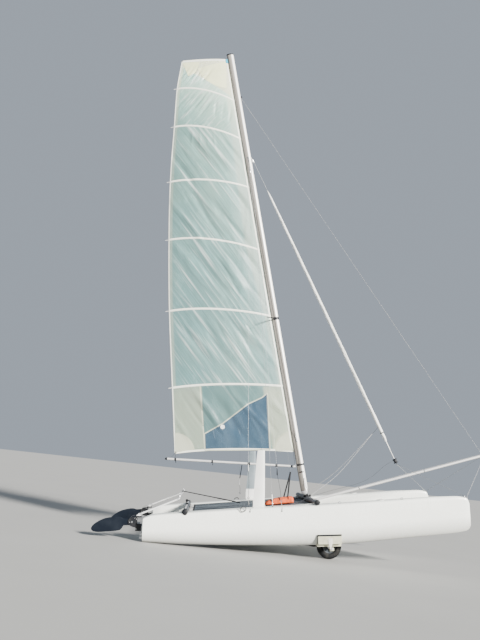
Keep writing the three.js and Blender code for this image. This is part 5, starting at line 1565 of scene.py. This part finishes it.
def makeFittings():
    blocks, steel, ropes, light, white, dark, wires = [], [], [], [], [], [], []
    # mast foot: halyard blocks and cleats either side of the step, on the beam's top
    bx, bz = beams["front"]
    for y, size in ((-0.075, 0.021), (-0.13, 0.021), (0.075, 0.021), (0.13, 0.019)):
        blocks += pulley((bx - 0.006, y, bz + beams["radius"] + size + 0.003), (1, 0, 0), size)
        steel.append(block(bx - 0.012, bx, y - 0.009, y + 0.009, bz + beams["radius"] - 0.004,
            bz + beams["radius"] + 0.010))
    for y in (-0.205, 0.205, -0.31, 0.31):
        for s in (-1, 1):
            blocks.append(turnedProfile([[0.0, 0.020], [0.013, 0.019], [0.0155, 0.012], [0.0155, 0.003],
                [0.0, 0.0]], (bx, y + s * 0.013, bz + beams["radius"] + 0.001), (0, 0, 1), 20))
        blocks.append(slab(bx, 0.022, y, 0.034, bz + beams["radius"] - 0.010, bz + beams["radius"] + 0.0035))
    for i, (y0, y1) in enumerate(((-0.205, -0.075), (0.205, 0.075), (-0.31, -0.13), (0.31, 0.13))):
        top = bz + beams["radius"]
        start = fromMast([0.005 + 0.010 * i, np.sign(y0) * (0.037 - 0.004 * (i // 2)), 0.30])
        ropes.append(cord([start, start * 0.62 + np.array([bx - 0.004, y1, top + 0.058]) * 0.38,
            (bx + 0.005, y1, top + 0.056), (bx - 0.006, y1 * 1.12, top + 0.046), (bx, (y0 + y1) / 2, top + 0.024),
            (bx, y0, top + 0.016), (bx - 0.03, y0 * 1.25, top + 0.012), (bx - 0.09, y0 * 1.45, top - 0.050),
            (bx - 0.17, y0 * 1.6, trampolineHeight(bx - 0.17) + 0.005),
            (bx - 0.30, y0 * 1.7, trampolineHeight(bx - 0.30) + 0.002)], 80, 0.0024))
    # the mainsheet's lower block on the traveller car
    car = np.array([beams["rear"][0], 0.0, 0.552])
    blocks += pulley(car + [0, 0, 0.026], (0, 1, 0), 0.026)
    steel.append(tube([car + [0, 0, -0.017], car + [0, 0, 0.008]], 0.005, 12))
    # trapeze wires with their grips, rings and cords to the deck
    for s, rows in trapeze.items():
        for mastZ, grip, ringAt, kind in rows:
            top = fromMast([0.010 if mastZ > 6.64 else -0.010, s * 0.038, mastZ])
            gripAt, footAt = (np.array([p[0], s * p[1], p[2]]) for p in (grip, ringAt))
            wires.append(tube([top, gripAt + [0, 0, 0.055]], 0.0013, 8))
            (white if kind == "white" else dark).append(handleBar(gripAt + [0, 0, 0.06], gripAt - [0, 0, 0.045]))
            ropes.append(cord([gripAt - [0, 0, 0.045], (gripAt + footAt) / 2 + [0.01, 0, 0], footAt + [0, 0, 0.05]],
                24, 0.0032))
            steel.append(turnedProfile(both([[0.010, 0.004], [0.0165, 0.004], [0.019, 0.0]]),
                footAt + [0, 0, 0.035], (0, 1, 0), 24, True))
            deck = crown(footAt[0])
            light.append(cord([footAt + [0, 0, 0.018], (footAt[0] + 0.01, s * 1.05, deck + 0.03),
                (footAt[0] + 0.02, s * 0.965, deck - 0.02)], 20, 0.0028))
    # port side: a dark strap above one grip, and a black V from its wire down to the deck
    strapTop, vTop = np.array([1.778, 1.0, 1.187]), np.array([2.744, 1.0, 1.020])
    straps = [tube([strapTop, (1.73, 1.0, 0.93)], 0.0080, 12)]
    wires.append(tube([fromMast([-0.010, 0.038, 6.62]), vTop + [0, 0, -0.004]], 0.0013, 8))
    for foot in ((2.592, 1.0, 0.528), (2.678, 1.02, 0.532)):
        straps.append(tube([vTop, foot], 0.0140, 12))
    straps.append(turnedProfile(both([[0.0, 0.022], [0.014, 0.018], [0.017, 0.0]]), vTop, (0, 0, 1), 20))
    # where the trapeze cords leave the hulls' sides, and a loop hung at the deck's edge
    for s in (-1, 1):
        for x, drop in ((1.783, 0.030), (2.315, 0.046)):
            y = s * (hullY + 0.985 * halfBeam(x))
            z = deckEdge(x) - drop
            dark.append(turnedProfile([[0.0, 0.006], [0.007, 0.0055], [0.010, 0.002], [0.010, -0.006],
                [0.0, -0.006]], (x, y, z), (0, s, 0), 20))
            dark.append(cord([(x, y + s * 0.004, z), (x + 0.004, y + s * 0.005, z + drop * 0.6),
                (x + 0.006, y - s * 0.004, z + drop + 0.006), (x + 0.006, y - s * 0.03, z + drop + 0.012)], 14,
                0.0030))
        edge = np.array([1.668, s * (hullY + 0.955 * halfBeam(1.668)), deckEdge(1.668) + 0.030])
        a = np.linspace(0, 2 * np.pi, 48, endpoint=False)
        wobble = 0.042 * (1 + 0.10 * np.sin(2 * a + 0.6))
        loop = np.stack([edge[0] + 1.05 * wobble * np.cos(a), edge[1] + s * (0.016 - 0.10 * wobble * np.sin(a)),
            edge[2] - 0.012 + wobble * np.sin(a)], -1)
        dark.append(tube(np.concatenate([loop, loop[:1]]), 0.0062, 8))
        dark.append(block(edge[0] - 0.012, edge[0] + 0.012, edge[1] - 0.010, edge[1] + 0.008, edge[2] - 0.058,
            edge[2] - 0.046))
    # jib cars on the front beam, with their sheets to the jib's clew near the roll's foot
    clew = np.array([4.20, 0.0, 1.735])
    for s in (-1, 1):
        at = np.array([bx, s * 0.42, bz + beams["radius"] + 0.028])
        blocks += pulley(at, (0.2, 1, 0), 0.021)
        steel.append(slab(bx, 0.016, at[1], 0.03, bz + beams["radius"] - 0.003, bz + beams["radius"] + 0.010))
        light.append(cord([at + [0.021, 0, 0.004], (3.40, s * 0.26, 0.95), (3.90, s * 0.09, 1.42),
            clew + [0.0, s * 0.012, 0]], 60, 0.0028))
        ropes.append(cord([at + [-0.018, 0, 0.008], (bx - 0.10, s * 0.52, bz + 0.02),
            (bx - 0.4, s * 0.75, bz - 0.047), (bx - 0.7, s * 0.80, bz - 0.064)], 40, 0.0028))
    stayLow = np.array(rig["stayLow"])
    clewOn = stayLow + toward(stayLow, fromMast(rig["stayTop"])) * 0.75
    ropes.append(cord([clew, (clew + clewOn) / 2 + [0, 0, 0.01], clewOn + [-0.035, 0, 0]], 20, 0.0034))
    # spinnaker halyard from high on the mast to the pole's end, and its guide ring
    halyardTop = fromMast([0.060, 0.0, 8.05])
    low = np.array([6.268, 0.0, 1.332])
    light.append(tube([halyardTop, low + [0, 0, 0.012]], 0.0021, 8))
    steel.append(turnedProfile(both([[0.008, 0.003], [0.0145, 0.003], [0.0165, 0.0]]), low, (0, 1, 0), 24, True))
    blocks += pulley(fromMast([0.070, 0.0, 8.06]), (0, 1, 0), 0.018)
    # deck loops on their plates, drain bungs in the transoms and round hatches
    for s in sides.values():
        for x in (4.370, 1.668, 3.30):
            y = s * (hullY + 0.5 * halfBeam(x))
            deck = crown(x) - 0.010
            loop = rounded([(x - 0.022, y, deck - 0.004), (x - 0.020, y, deck + 0.020), (x, y, deck + 0.030),
                (x + 0.020, y, deck + 0.020), (x + 0.022, y, deck - 0.004)], 24)
            steel.append(tube(loop, 0.0032, 10))
            steel.append(turnedProfile([[0.0, 0.004], [0.022, 0.0035], [0.026, 0.0], [0.0, -0.004]], (x, y, deck),
                (0.06, 0, 1), 28))
        dark.append(turnedProfile([[0.0, 0.006], [0.012, 0.0055], [0.017, 0.003], [0.019, -0.003], [0.0, -0.003]],
            (0.006, s * hullY + 0.05, 0.20), (-1, 0, 0.05), 28))
        hatch = (4.02, s * hullY, crown(4.02) + 0.0005)
        white.append(turnedProfile([[0.0, 0.006], [0.052, 0.0055], [0.062, 0.0045], [0.066, 0.001], [0.066, -0.006],
            [0.0, -0.006]], hatch, (-0.055, 0, 1), 56))
        dark.append(turnedProfile([[0.055, 0.0062], [0.0565, 0.0068], [0.058, 0.0062]], hatch, (-0.055, 0, 1), 56,
            True))
    makePiece("fittingBlocks", blocks, "black", edge=0.0006)
    makePiece("trapezeWires", wires, "wire")
    makePiece("fittingSteel", steel, "steel")
    makePiece("controlLines", ropes, "darkRope")
    makePiece("lightLines", light, "lightRope")
    makePiece("whiteGrips", white, "white")
    makePiece("darkGrips", dark, "dark")
    makePiece("farStraps", straps, "webbing")
    # the rudders' lower pins, each held off the transom by a lug
    pins = []
    for s in (-1, 1):
        y = s * hullY
        pins.append(tube([[0, y, 0.040], [0, y, 0.172]], 0.0070, 16))
        pins.append(block(-0.012, 0.046, y - 0.016, y + 0.016, 0.052, 0.074))
        pins.append(block(0.036, 0.048, y - 0.026, y + 0.026, 0.040, 0.150))
    makePiece("lowerPins", pins, "steel", "root", onRudder, edge=0.0012)
    print("fittings made")


# nodes shown as the solids have them, which only get a finish
plainNodes = {
    "alloy": ("mast_base", "traveller_track"), "black": ("mast_head", "traveller_car"), "dark": ("mast_step",),
    "cream": ("cradle_starboard", "cradle_port"),
    "steel": (
        "gooseneck", "gudgeons_starboard", "gudgeons_port", "dolphin_striker_post", "dolphin_striker_rod_starboard",
        "dolphin_striker_rod_port",
    ),
}


def dressNodes():
    for finish, names in plainNodes.items():
        for name in names:
            nodes[name].data.materials.clear()
            nodes[name].data.materials.append(finishes[finish])
    print("plain nodes dressed")


makeHulls()
makeBoards()
makeBeams()
makeTrampoline()
makeMast()
makeSail()
makeBoom()
makeShrouds()
makeForestay()
makePole()
makeBag()
makeRudders()
makeTrolley()
makeFittings()
dressNodes()

# floor, light and camera
studio = {"size": 60.0, "floor": (0.33, 0.33, 0.32), "world": 0.74, "sky": (0.50, 0.57, 0.66), "sun": 14.0,
    "sunAngle": 9.0, "sunFrom": (0.68, -0.70, 0.44)}
camera = {"eye": (-1.77006, -13.1378, 1.4836), "lens": 38.96, "yaw": 0.0262, "pitch": 0.1986, "roll": 0.1086}


def makeStudio():
    # a wide pale floor one skin below the wheels, soft sky light and one broad sun
    far, low = studio["size"], -0.0005
    mesh = bpy.data.meshes.new("floor")
    mesh.from_pydata([(-far, -far, low), (far, -far, low), (far, far, low), (-far, far, low)], [], [[0, 1, 2, 3]])
    floor = newObject("floor", mesh)
    finish, tree, shader = newFinish("floorPaper", Roughness=0.85)
    broad = cloud(tree, spot(tree), 0.7, 5.0)
    paint(tree, shader, "Base Color", tint(tree, span(tree, broad, 0.35, 0.7), studio["floor"],
        scaled(studio["floor"], 0.965)))
    mesh.materials.append(finish)
    world = bpy.data.worlds.new("softSky")
    world.use_nodes = True
    ground = world.node_tree.nodes["Background"]
    ground.inputs["Color"].default_value = (*studio["sky"], 1.0)
    ground.inputs["Strength"].default_value = studio["world"]
    bpy.context.scene.world = world
    sun = bpy.data.lights.new("sun", "SUN")
    sun.energy = studio["sun"]
    sun.angle = math.radians(studio["sunAngle"])
    sun.color = (1.0, 0.965, 0.91)
    lamp = newObject("sun", sun)
    lamp.rotation_euler = Vector(studio["sunFrom"]).to_track_quat("Z", "Y").to_euler()


def makeCamera():
    # forward from yaw and pitch, then right and up rolled about it
    yaw, pitch, roll = camera["yaw"], camera["pitch"], camera["roll"]
    forward = Vector((math.sin(yaw) * math.cos(pitch), math.cos(yaw) * math.cos(pitch), math.sin(pitch)))
    right = Vector((math.cos(yaw), -math.sin(yaw), 0.0))
    up = right.cross(forward)
    turnedRight = right * math.cos(roll) + up * math.sin(roll)
    turnedUp = up * math.cos(roll) - right * math.sin(roll)
    view = bpy.data.cameras.new("photoCamera")
    view.lens = camera["lens"]
    view.sensor_width = 36.0
    view.sensor_height = 36.0
    view.clip_end = 200.0
    holder = newObject("photoCamera", view)
    turn = Matrix((turnedRight, turnedUp, -forward)).transposed()
    holder.matrix_world = Matrix.Translation(camera["eye"]) @ turn.to_4x4()
    bpy.context.scene.camera = holder


makeStudio()
makeCamera()
